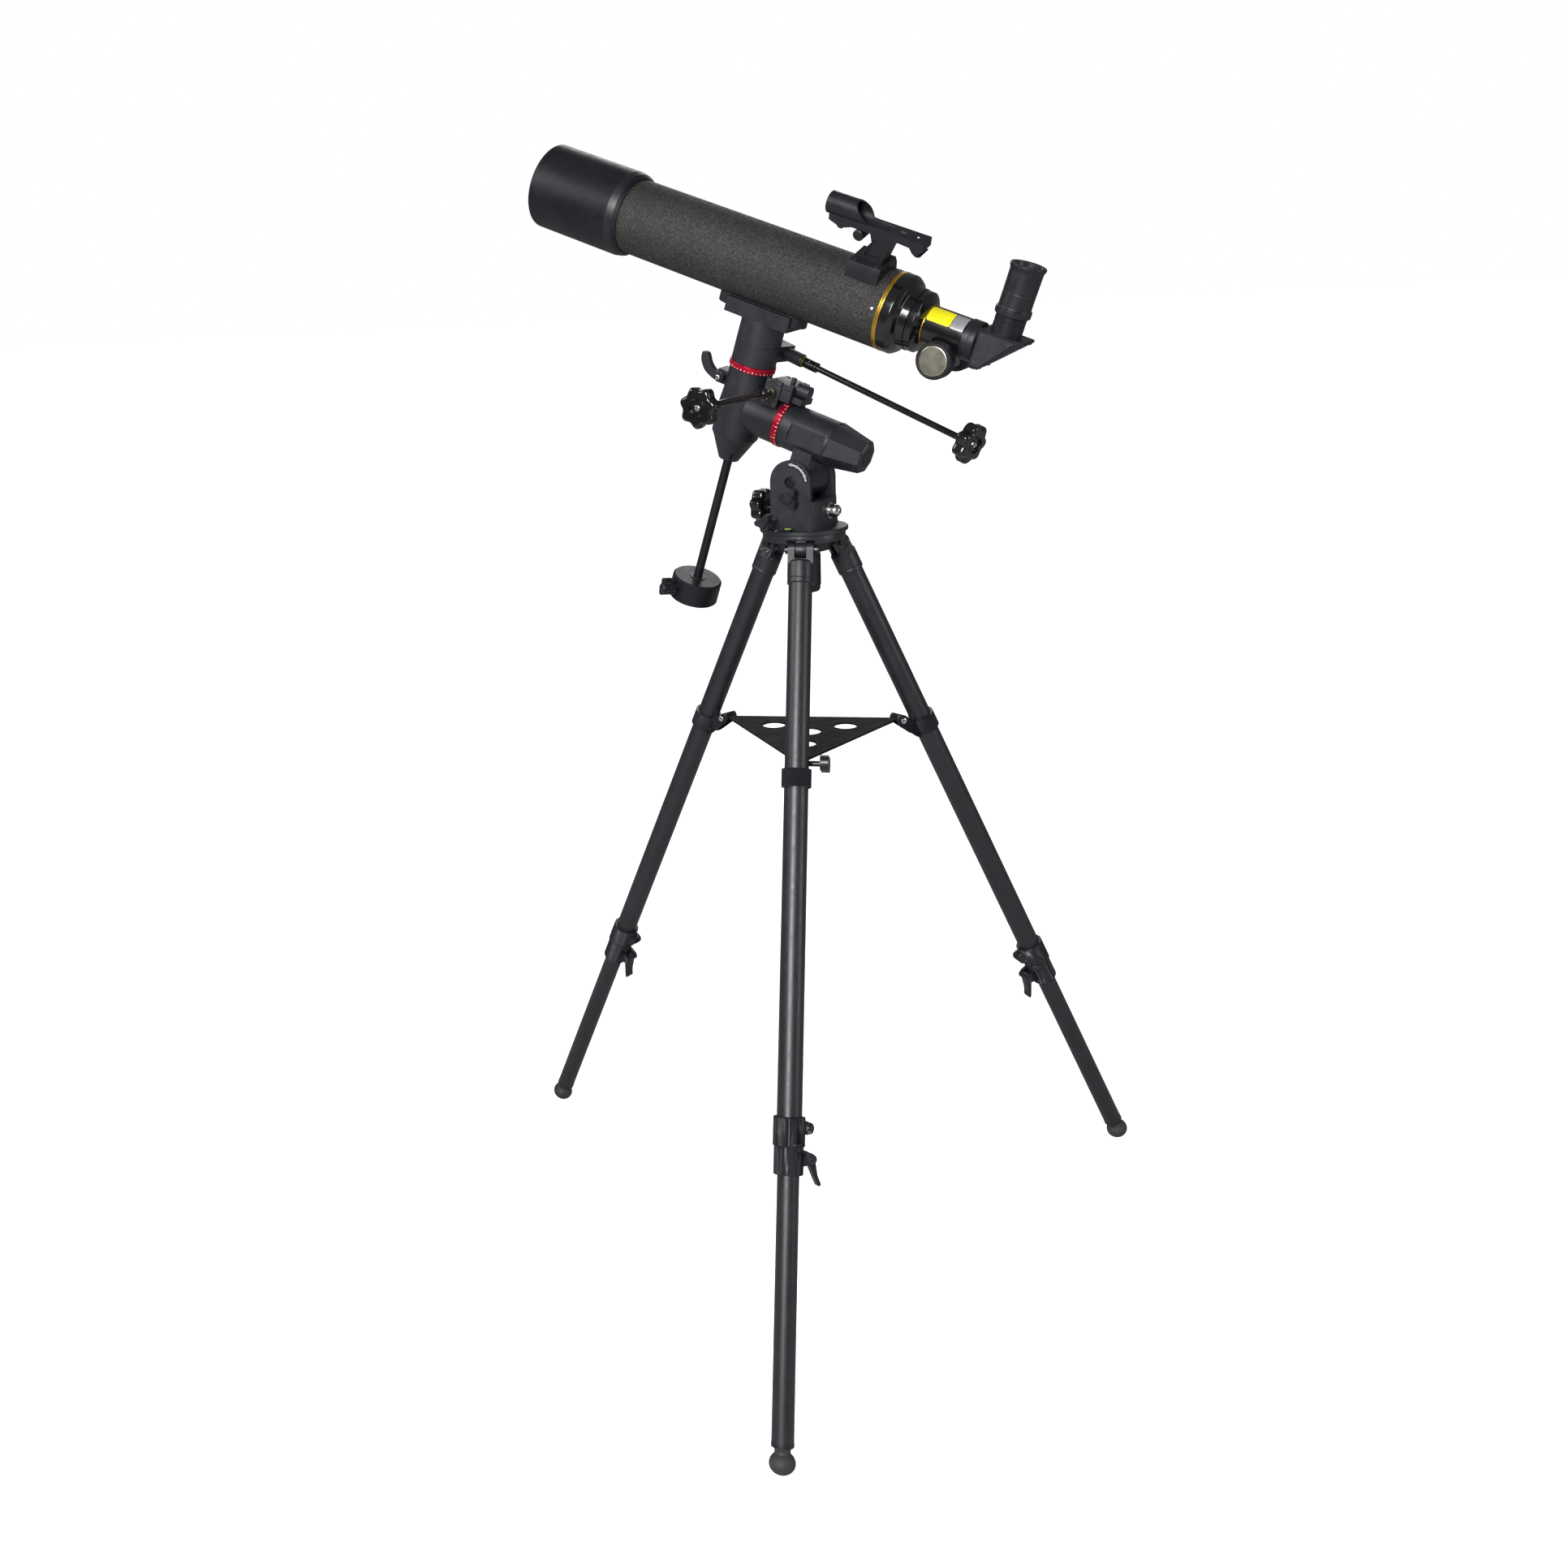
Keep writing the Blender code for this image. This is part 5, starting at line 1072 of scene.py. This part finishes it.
def build_tube(ota):
    main = tube("main_tube", ota, TUBE_R, TUBE_BORE, 0.2060, -0.1520, 192, rotation=ALONG_X)
    piece(main, "optical_tube", "crinkle", 0.0003)
    front = 0.3330
    shield = turned("shield", ota, [
        (SHIELD_R - 0.0005, front), (SHIELD_R, front - 0.0006), (SHIELD_R, 0.2165),
        (SHIELD_R - 0.0005, 0.2148), (0.0500, 0.2078), (0.0494, 0.2068), (0.0472, 0.2030), (0.0468, 0.2025),
        (TUBE_R + GAP, 0.2025), (TUBE_R + GAP, 0.2145), (0.0504, 0.2150), (0.0504, front)], 192,
        rotation=ALONG_X, ring=True)
    piece(shield, "dew_shield", "satin_black", 0.0003)
    lip = turned("dew_shield_lip", ota, [
        (SHIELD_R + 0.00012, 0.2168), (SHIELD_R + 0.00010, 0.2163), (SHIELD_R - 0.00035, 0.2146),
        (0.05012, 0.2077), (0.04985, 0.2081), (0.0514, 0.2150), (0.0516, 0.2168)], 192, rotation=ALONG_X,
        ring=True)
    detail(lip, "dew_shield", "plastic")
    cell = turned("cell", ota, [
        (0.0495, 0.2300), (0.0495, 0.2158), (TUBE_BORE - GAP, 0.2158), (TUBE_BORE - GAP, 0.1950),
        (0.0385, 0.1950), (0.0385, 0.2150), (0.0402, 0.2150), (0.0402, 0.2300)], 128, rotation=ALONG_X,
        ring=True)
    piece(cell, "objective_cell", "plastic", 0.0003)
    retainer = tube("objective_retainer", ota, 0.0402, 0.0378, 0.2304, 0.2293, 128, rotation=ALONG_X)
    detail(retainer, "objective_cell", "satin_black", 0.0002)
    bulge = [(0.0398 * math.cos(a), 0.2255 + 0.0035 * math.sin(a))
             for a in [math.radians(90.0 - 10.0 * i) for i in range(10)]]
    dish = [(r, 0.2185 - (z - 0.2255) * 0.4) for r, z in reversed(bulge)]
    lens = turned("lens", ota, [(0.0, bulge[0][1]), *bulge[1:], *dish[:-1], (0.0, dish[-1][1])], 128,
                  rotation=ALONG_X)
    piece(lens, "objective_lens", "glass", 0.0)
    ring = tube("gold_ring_front", ota, TUBE_R + 0.00025, TUBE_R - 0.0004, -0.1510, -0.1526, 192,
                rotation=ALONG_X)
    detail(ring, "optical_tube", "gold", 0.0001)
    for index, degrees in enumerate((82.0, 202.0, 322.0)):
        spot = around(ota, -0.1452, degrees, TUBE_R)
        cross_screw("tube_screw_%d" % index, spot, (0, 0, 0), (0, 0, 0), 0.0021, "optical_tube", "steel",
                    0.0010)


def build_rear_cell(ota):
    cell = turned("rear_casting", ota, [
        (TUBE_BORE - GAP, -0.1380), (TUBE_BORE - GAP, -0.1526), (0.0452, -0.1526), (0.0452, -0.1655),
        (0.0446, -0.1667), (0.0415, -0.1712), (0.0408, -0.1717), (0.0370, -0.1737), (0.0358, -0.1750),
        (0.0352, -0.1835), (0.0235, -0.1835), (0.0235, -0.1640), (0.0410, -0.1560), (0.0410, -0.1380)], 144,
        rotation=ALONG_X, ring=True)
    piece(cell, "rear_cell", "gloss_black", 0.0004)
    ring = tube("gold_ring_rear", ota, TUBE_R + 0.00035, TUBE_R - 0.0010, -0.1528, -0.1556, 192,
                rotation=ALONG_X)
    detail(ring, "rear_cell", "gold", 0.0002)


def build_focuser(ota):
    flange_r, spigot_r, body_end = 0.0345, 0.0231, -0.2455
    body = turned("focuser", ota, [
        (0.0, -0.1660), (spigot_r, -0.1660), (spigot_r, -0.1838), (flange_r - 0.0006, -0.1838),
        (flange_r, -0.1844), (flange_r, -0.1915), (flange_r - 0.0012, -0.1930), (0.0290, -0.1955),
        (0.0262, -0.1972), (0.0238, -0.1978), (BODY_R, -0.1992), (BODY_R, body_end), (0.0, body_end)], 144,
        rotation=ALONG_X)
    house = box("pinion_house", ota, (-0.2425, -0.0125, -0.0345), (-0.2085, 0.0125, -0.0120))
    join(body, rounded(house, 0.003, 4))
    cut(body, rod("draw_bore", ota, DRAW_R + GAP, (-0.30, 0, 0), (-0.15, 0, 0), sides=144),
        box("rack_groove", ota, (-0.30, -0.0036, -0.0202), (-0.15, 0.0036, -0.0100)),
        rod("pinion_nest", ota, PINION_R + 0.0006, (PINION_X, -0.0060, PINION_Z),
            (PINION_X, 0.0060, PINION_Z)),
        rod("axle_bore", ota, 0.0018, (PINION_X, -0.03, PINION_Z), (PINION_X, 0.03, PINION_Z), sides=32))
    piece(body, "focuser_body", "gloss_black", 0.0004)
    flange_line = tube("focuser_gold_line", ota, 0.02340, 0.0215, -0.1979, -0.1992, 144, rotation=ALONG_X)
    detail(flange_line, "focuser_body", "gold", 0.0001)
    detail(curved_label("focuser_yellow_label", ota, BODY_R + 0.00012, -0.2280, -0.1996, 38.0, 27.0,
                        0.0030),
           "focuser_body", "yellow_label")
    detail(curved_label("focuser_silver_label", ota, BODY_R + 0.00012, -0.2440, -0.2286, 38.0, 27.0,
                        0.0006),
           "focuser_body", "silver_label")
    for index, (x, y) in enumerate(((-0.2385, 0.0090), (-0.2385, -0.0090), (-0.2125, 0.0090),
                                    (-0.2125, -0.0090))):
        cross_screw("pinion_screw_%d" % index, ota, (x, y, -0.0345), (math.pi, 0, 0), 0.0018,
                    "focuser_body", "dark_steel", 0.0008)

    draw = turned("draw", ota, [
        (DRAW_R, -0.1050), (DRAW_R, -0.2458), (0.0228, -0.2458), (0.0232, -0.2462), (0.0232, -0.2520),
        (0.0229, -0.2523), (0.0229, -0.2529), (0.0232, -0.2532), (0.0232, -0.2590), (0.0222, -0.2602),
        (DRAW_BORE, -0.2602), (DRAW_BORE, -0.1050)], 144, rotation=ALONG_X, ring=True)
    join(draw, box("focus_rack", ota, (-0.2400, -0.0030, -0.0196), (-0.1150, 0.0030, -0.0174)))
    bm = bmesh.new()
    for i in range(56):
        add_block(bm, Matrix.Translation((-0.2380 + 0.0022 * i, 0, -0.0193)), (0.0010, 0.0080, 0.0014))
    cut(draw, place(mesh_from(bm, "rack_gaps"), ota))
    piece(draw, "drawtube", "plastic", 0.0003)

    knob_in, knob_out, knob_r = 0.0235, 0.0390, 0.0205
    knobs = turned("knobs", ota, [
        (0.0, knob_out - 0.0008), (knob_r - 0.0036, knob_out - 0.0008), (knob_r - 0.0032, knob_out),
        (knob_r - 0.0014, knob_out), (knob_r, knob_out - 0.0014), (knob_r, knob_in + 0.001),
        (knob_r - 0.001, knob_in), (0.0015, knob_in), (0.0015, 0.0055), (PINION_R, 0.0055),
        (PINION_R, -0.0055), (0.0015, -0.0055), (0.0015, -knob_in), (knob_r - 0.001, -knob_in),
        (knob_r, -knob_in - 0.001), (knob_r, -knob_out + 0.0014), (knob_r - 0.0014, -knob_out),
        (knob_r - 0.0032, -knob_out), (knob_r - 0.0036, -knob_out + 0.0008), (0.0, -knob_out + 0.0008)],
        144, (PINION_X, 0, PINION_Z), ALONG_Y)
    piece(knobs, "focus_knobs", "plastic", 0.0003)
    for sign, label in ((1, "near"), (-1, "far")):
        rim_at = at(ota, (PINION_X, 0, PINION_Z), (-sign * math.pi / 2, 0, 0))
        disc = turned("focus_disc_" + label, rim_at, [
            (0.0, knob_out + 0.0001), (0.0150, knob_out + 0.0001), (0.0164, knob_out - 0.0003),
            (0.0168, knob_out - 0.0010), (0.0, knob_out - 0.0010)], 128)
        detail(disc, "focus_knobs", "nickel", 0.0002)
        bm = bmesh.new()
        for i in range(60):
            turn = Matrix.Rotation(math.radians(6.0 * i), 4, "Z")
            add_block(bm, turn @ Matrix.Translation((knob_r, 0, (knob_in + knob_out) / 2)),
                      (0.0007, 0.0010, knob_out - knob_in - 0.0036))
        ribs = place(mesh_from(bm, "focus_ribs_" + label), rim_at)
        detail(ribs, "focus_knobs", "plastic")


def build_diagonal(ota):
    face, roof, floor, half = -0.2605, 0.0195, -0.0245, 0.0180
    mirror = -0.2930
    wedge = [(face, roof), (face, floor), (mirror - floor, floor), (mirror - roof, roof)]
    body = plate("diagonal_body", ota, [wedge], 2 * half, (0, 0, 0), SIDE_ON)
    nose = rod("diagonal_nose", ota, DRAW_BORE - GAP, (face - 0.001, 0, 0), (-0.2300, 0, 0), sides=96)
    holder = turned("diagonal_holder", ota, [
        (0.0, 0.0400), (0.0166, 0.0400), (0.0170, 0.0396), (0.0170, 0.0330), (0.0166, 0.0326),
        (0.0166, 0.0318), (0.0170, 0.0314), (0.0170, roof - 0.001), (0.0, roof - 0.001)], 96, (EYE_X, 0, 0))
    join(body, nose, holder)
    cut(body, rod("light_path", ota, 0.0130, (-0.2780, 0, 0), (-0.2200, 0, 0)),
        rod("eyepiece_well", ota, 0.0152, (EYE_X, 0, 0.0070), (EYE_X, 0, 0.0500), sides=96),
        rod("light_fold", ota, 0.0110, (EYE_X + 0.0005, 0, -0.0010), (EYE_X + 0.0005, 0, 0.0100)))
    piece(body, "diagonal", "satin_black", 0.0010, 3)

    inset = 0.0032
    side = [(face - 0.002, roof - inset), (face - 0.002, floor + inset),
            (mirror - floor - 0.0035, floor + inset), (mirror - roof + 0.0095, roof - inset)]
    for sign, label in ((1, "near"), (-1, "far")):
        shape = soft_corners(side, 0.0015)
        panel = plate("diagonal_side_" + label, ota, [shape], 0.0010, (0, sign * (half + 0.0002), 0),
                      SIDE_ON)
        detail(panel, "diagonal", "casting", 0.0003, 2)
        spots = ((face - 0.0055, floor + 0.0070), (mirror - roof + 0.0160, roof - 0.0070),
                 (face - 0.0055, roof - 0.0070))
        for index, (x, z) in enumerate(spots):
            cross_screw("diagonal_screw_%s_%d" % (label, index), ota, (x, sign * (half + 0.0006), z),
                        (-sign * math.pi / 2, 0, 0), 0.0017, "diagonal", "dark_steel", 0.0008)
    middle = ((mirror - floor + mirror - roof) / 2, 0.0, (floor + roof) / 2)
    slope = at(ota, middle, (0, -math.pi / 4 - math.pi / 2, 0))
    cover_half = (roof - floor) / math.sqrt(2) - 0.0012
    cover = box("diagonal_mirror_cover", slope, (-cover_half, -half + 0.0008, -0.0004),
                (cover_half, half - 0.0008, 0.0018))
    detail(rounded(cover, 0.0006, 2), "diagonal", "plastic")
    for index, (x, y) in enumerate(((-1, -1), (-1, 1), (1, -1), (1, 1))):
        cross_screw("mirror_cover_screw_%d" % index, slope, (x * (cover_half - 0.004), y * (half - 0.0045),
                                                             0.0018),
                    (0, 0, 0), 0.0018, "diagonal", "dark_steel", 0.0008)


def build_eyepiece(ota):
    eye = turned("eye", ota, [
        (0.0, 0.0900), (0.0120, 0.0900), (0.0148, 0.0952), (0.0152, 0.0955), (0.0183, 0.0955),
        (0.0193, 0.0953), (0.0198, 0.0946), (0.0198, 0.0932), (0.0192, 0.0915), (0.0184, 0.0897),
        (0.0182, 0.0885), (0.0180, 0.0660), (0.0177, 0.0656), (0.0177, 0.0650), (0.0180, 0.0646),
        (0.0180, 0.0500), (0.0184, 0.0486), (0.0194, 0.0480), (0.0198, 0.0476), (0.0198, 0.0418),
        (0.0195, 0.0411), (0.0188, 0.0403), (0.0149, 0.0403), (0.0149, 0.0150), (0.0, 0.0150)], 144,
        (EYE_X, 0, 0))
    piece(eye, "eyepiece", "plastic", 0.0003)
    lens = turned("eye_lens", ota, [(0.0, 0.0912), (0.0040, 0.0910), (0.0080, 0.0904), (0.0090, 0.0901),
                                    (0.0090, 0.0898), (0.0, 0.0898)], 64, (EYE_X, 0, 0))
    detail(lens, "eyepiece", "glass")


def build_finder(ota):
    """A red-dot finder: shoe on the tube, pedestal with webs, long bar and a scooped hood."""
    lean = at(ota, (0, 0, 0), (FINDER_LEAN, 0, 0))
    half = [(0.0242, 0.0300), (0.0220, 0.0485), (0.0175, 0.0570)]
    section = [(-y, z) for y, z in half] + [(y, z) for y, z in reversed(half)]
    shoe = plate("shoe", lean, [section], 0.0405, (-0.1192, 0, 0), (math.pi / 2, 0, math.pi / 2))
    cut(shoe, rod("shoe_hollow", lean, TUBE_R + GAP, (-0.2, 0, 0), (0, 0, 0), sides=160))
    piece(shoe, "finder_shoe", "plastic", 0.0007, 3)
    for index, x in enumerate((-0.1060, -0.1325)):
        for sign in (1, -1):
            cross_screw("shoe_screw_%d_%d" % (index, sign > 0), lean, (x, sign * 0.0143, 0.0570), (0, 0, 0),
                        0.0022, "finder_shoe", "dark_steel", 0.0009)

    side = [(-0.0660, 0.1000), (-0.0660, 0.0920), *arc(-0.0810, 0.0905, 0.0050, 205.0, 335.0, 10)[::-1],
            (-0.0870, 0.0885), (-0.0950, 0.0915),
            (-0.1185, 0.0915), (-0.1210, 0.0820), (-0.1050, 0.0600), (-0.1050, 0.0574), (-0.1360, 0.0574),
            (-0.1360, 0.0600), (-0.1420, 0.0790), (-0.1460, 0.0880), (-0.1520, 0.0915), (-0.1660, 0.0905),
            (-0.1700, 0.0850), *arc(-0.1760, 0.0885, 0.0062, 225.0, 290.0, 6), (-0.1820, 0.0900),
            (-0.1820, 0.1000)]
    body = plate("finder", lean, [side], 0.0195, (0, 0, 0), SIDE_ON)
    hood = turned("finder_hood", lean, [(0.0, -0.0620), (0.0117, -0.0620), (0.0122, -0.0626),
                                        (0.0122, -0.1150), (0.0, -0.1150)], 96, (0, 0, HOOD_HEIGHT),
                                        ALONG_X)
    bore = rod("finder_bore", lean, 0.0104, (-0.0500, 0, HOOD_HEIGHT), (-0.1400, 0, HOOD_HEIGHT), sides=96)
    slope = [(-0.0880, 0.1240), (-0.0950, 0.1195), (-0.1050, 0.1100), (-0.1120, 0.1004), (-0.1500, 0.1004),
             (-0.1500, 0.1240)]
    scoop = plate("finder_scoop", lean, [slope], 0.06, (0, 0, 0), SIDE_ON)
    join(body, hood)
    cut(body, bore, scoop)
    for sign in (1, -1):
        low, high = sorted((sign * 0.0072, sign * 0.0120))
        web = [(-0.1235, 0.0865), (-0.1400, 0.0865), (-0.1345, 0.0640), (-0.1130, 0.0640)]
        pocket = plate("web_pocket", lean, [web], high - low, (0, (low + high) / 2, 0), SIDE_ON)
        cut(body, pocket)
    piece(body, "finder_body", "plastic", 0.0008, 3)
    slot = box("finder_switch_slot", lean, (-0.1560, -0.0014, 0.0999), (-0.1500, 0.0014, 0.1003))
    detail(rounded(slot, 0.0002, 1), "finder_body", "steel")
    dot = turned("finder_switch_dot", lean, [(0.0, 0.0006), (0.0011, 0.0005), (0.0014, 0.0), (0.0, 0.0)],
                 32, (-0.1710, 0, 0.1000))
    detail(dot, "finder_body", "white_mark")
    rim = tube("finder_hood_rim", lean, 0.0123, 0.0106, -0.0618, -0.0632, 96, location=(0, 0, HOOD_HEIGHT),
               rotation=ALONG_X)
    detail(rim, "finder_body", "satin_black", 0.0002)
    window = turned("finder_window", lean, [(0.0, -0.0690), (0.0103, -0.0690), (0.0103, -0.0702),
                                            (0.0, -0.0702)],
                    72, (0, 0, HOOD_HEIGHT), ALONG_X)
    detail(window, "finder_body", "glass")
    hinge = at(lean, (-0.1040, 0, 0.0845))
    knob = turned("dimmer", hinge, [
        (0.0, 0.0110), (0.0055, 0.0110), (0.0065, 0.0100), (0.0065, -0.0100), (0.0055, -0.0110),
        (0.0, -0.0110)],
        72, rotation=ALONG_Y)
    bm = bmesh.new()
    for i in range(18):
        angle = 2 * math.pi * i / 18
        groove = Matrix.Translation((0.0068 * math.cos(angle), 0, 0.0068 * math.sin(angle)))
        add_rod(bm, groove @ Matrix.Rotation(math.pi / 2, 4, "X"), 0.0006, 0.04, 12)
    cut(knob, place(mesh_from(bm, "dimmer_grooves"), hinge))
    piece(knob, "finder_knob", "plastic", 0.0002)


def build_all():
    base = Matrix.Translation(CENTRE_SHIFT)
    build_hub(base)
    build_centre_bolt(base)
    legs = {side: leg_axes(base, side) for side in LEG_AZIMUTHS}
    for side, leg in legs.items():
        build_hinge_pin(leg, side)
        build_upper_leg(leg, side)
        build_spreader_collar(leg, side)
        build_lock(leg, side)
        build_lower_leg(leg, side)
    build_tray(base)
    build_wing_bolt(legs["front"])

    azimuth = at(base, (0, 0, 0), (0, 0, AZIMUTH_TURN))
    build_azimuth_parts(azimuth)
    latitude = at(azimuth, (0, 0, PIVOT_HEIGHT), (0, -LATITUDE, 0))
    polar = at(latitude, CROSSING)
    polar_worm = build_polar_parts(polar)
    build_slow_control("polar_slow_control", polar_worm, 0.188, 0.0235, 0.0310, 0.0550)

    dec = at(polar, (0, 0, 0), (HOUR_TURN, 0, 0))
    worm = build_declination_parts(dec)
    build_slow_control("declination_slow_control", worm, 0.286, 0.0235, 0.0450, 0.0680)
    build_clamp_lever(dec)
    build_counterweight(dec)
    build_saddle(dec)

    ota = at(dec, (0, 0, TUBE_AXIS))
    build_foot_bar(ota)
    build_tube(ota)
    build_rear_cell(ota)
    build_focuser(ota)
    build_diagonal(ota)
    build_eyepiece(ota)
    build_finder(ota)


def finish_pieces():
    """Applies each piece's modifiers, puts its mesh in the shared frame and hands it to its CAD body."""
    for obj, node, _finish, bevel, segments, _extra in PIECES:
        if bevel:
            rounded(obj, bevel, segments)
        normals = obj.modifiers.new("Normals", "WEIGHTED_NORMAL")
        normals.mode = "CORNER_ANGLE" if node.startswith(ROUND_PIECES) else "FACE_AREA"
        normals.keep_sharp = True
    bpy.context.view_layer.update()
    graph = bpy.context.evaluated_depsgraph_get()
    meshes = [bpy.data.meshes.new_from_object(row[0].evaluated_get(graph), preserve_all_data_layers=True,
                                              depsgraph=graph) for row in PIECES]
    for (obj, node, finish, _bevel, _segments, extra), mesh in zip(PIECES, meshes):
        mesh.transform(obj.matrix_world)
        mesh.materials.clear()
        mesh.materials.append(FINISHES[finish])
        name = obj.name + "_detail" if extra else node + "_visual"
        mesh.name = name
        made = bpy.data.objects.new(name, mesh)
        MODEL.objects.link(made)
        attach(made, BODY_OF[node])
        if not extra:
            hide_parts(node)
    for obj in list(WORK.objects):
        bpy.data.objects.remove(obj, do_unlink=True)
    bpy.data.collections.remove(WORK)


build_all()
finish_pieces()


# ---------------------------------------------------------------- floor, light and camera
FLOOR_SIZE = 60.0
FLOOR_HEIGHT = -0.0006
FLOOR_PALE = ((0.80, 0.80, 0.80), (0.82, 0.82, 0.82))
FLOOR_DIM = (0.34, 0.34, 0.34)
FLOOR_FAINT_GLOW = 0.07
GLOW_DISTANCES = (0.6, 1.8)
GLOW_LEVELS = (0.78, 1.0)
ROOM_LIGHT = 0.14
BACKDROP_LIGHT = 1.0
LIGHT_AIM = (0.0, 0.1, 0.95)


def build_floor():
    """A pale floor that glows to the camera, more with distance, and is a dim grey to the other rays."""
    nodes = Nodes("pale_floor")
    drift = nodes.span(nodes.noise(1.5, 2.0), 0.35, 0.65)
    seen = nodes.add("ShaderNodeLightPath").outputs["Is Camera Ray"]
    pale = nodes.mix(drift, *FLOOR_PALE)
    nodes.link(nodes.mix(seen, FLOOR_DIM, pale), nodes.shader.inputs["Base Color"])
    nodes.shader.inputs["Roughness"].default_value = 0.9
    nodes.shader.inputs["Specular IOR Level"].default_value = 0.1
    nodes.shader.inputs["Emission Color"].default_value = (1.0, 1.0, 1.0, 1.0)
    distance = nodes.add("ShaderNodeVectorMath", operation="LENGTH")
    nodes.link(nodes.coordinates, distance.inputs[0])
    level = nodes.add("ShaderNodeMapRange")
    level.inputs["To Min"].default_value = FLOOR_FAINT_GLOW
    glow = nodes.span(distance.outputs["Value"], *GLOW_DISTANCES, *GLOW_LEVELS)
    nodes.link(glow, level.inputs["To Max"])
    nodes.link(seen, level.inputs["Value"])
    nodes.link(level.outputs["Result"], nodes.shader.inputs["Emission Strength"])
    bm = bmesh.new()
    bmesh.ops.create_grid(bm, x_segments=1, y_segments=1, size=FLOOR_SIZE)
    mesh = bpy.data.meshes.new("floor")
    bm.to_mesh(mesh)
    bm.free()
    mesh.materials.append(nodes.material)
    floor = bpy.data.objects.new("floor", mesh)
    floor.location = (0.0, 0.0, FLOOR_HEIGHT)
    bpy.context.scene.collection.objects.link(floor)


def area_light(name, location, target, size, power):
    data = bpy.data.lights.new(name, "AREA")
    data.shape = "RECTANGLE"
    data.size, data.size_y = size
    data.energy = power
    light = bpy.data.objects.new(name, data)
    light.location = location
    light.rotation_euler = (Vector(target) - Vector(location)).to_track_quat("-Z", "Y").to_euler()
    bpy.context.scene.collection.objects.link(light)


def build_studio():
    """A white backdrop in a dimmer room, with a large soft box in front and smaller ones around."""
    scene = bpy.context.scene
    world = bpy.data.worlds.new("studio")
    world.use_nodes = True
    tree = world.node_tree
    background = tree.nodes["Background"]
    seen = tree.nodes.new("ShaderNodeLightPath")
    level = tree.nodes.new("ShaderNodeMapRange")
    level.inputs["To Min"].default_value = ROOM_LIGHT
    level.inputs["To Max"].default_value = BACKDROP_LIGHT
    tree.links.new(seen.outputs["Is Camera Ray"], level.inputs["Value"])
    tree.links.new(level.outputs["Result"], background.inputs["Strength"])
    background.inputs["Color"].default_value = (1.0, 1.0, 1.0, 1.0)
    scene.world = world
    scene.view_settings.view_transform = "Standard"
    area_light("key", (-0.7, -3.0, 2.1), LIGHT_AIM, (1.3, 1.6), 130.0)
    area_light("fill", (-2.6, -0.6, 2.6), LIGHT_AIM, (1.2, 1.2), 32.0)
    area_light("side", (2.8, -0.8, 1.4), (0.0, 0.1, 0.9), (0.8, 1.8), 18.0)
    area_light("back", (-0.4, 3.0, 2.6), LIGHT_AIM, (1.6, 1.4), 18.0)


CAMERA_PLACE = (0.1602, -1.709794, 1.224573)
CAMERA_RIGHT = (0.97614, 0.21154, -0.04901)
CAMERA_UP = (-0.00110, 0.23053, 0.97306)
CAMERA_AHEAD = (-0.21714, 0.94979, -0.22527)


def build_camera():
    data = bpy.data.cameras.new("camera")
    data.sensor_width = 36.0
    data.lens = 34.771
    data.shift_x = 0.11592
    data.shift_y = -0.09263
    data.clip_start = 0.05
    data.clip_end = 200.0
    camera = bpy.data.objects.new("camera", data)
    bpy.context.scene.collection.objects.link(camera)
    backward = [-value for value in CAMERA_AHEAD]
    columns = Matrix((CAMERA_RIGHT, CAMERA_UP, backward)).transposed().to_4x4()
    camera.matrix_world = Matrix.Translation(CAMERA_PLACE) @ columns
    bpy.context.scene.camera = camera


build_floor()
build_studio()
build_camera()
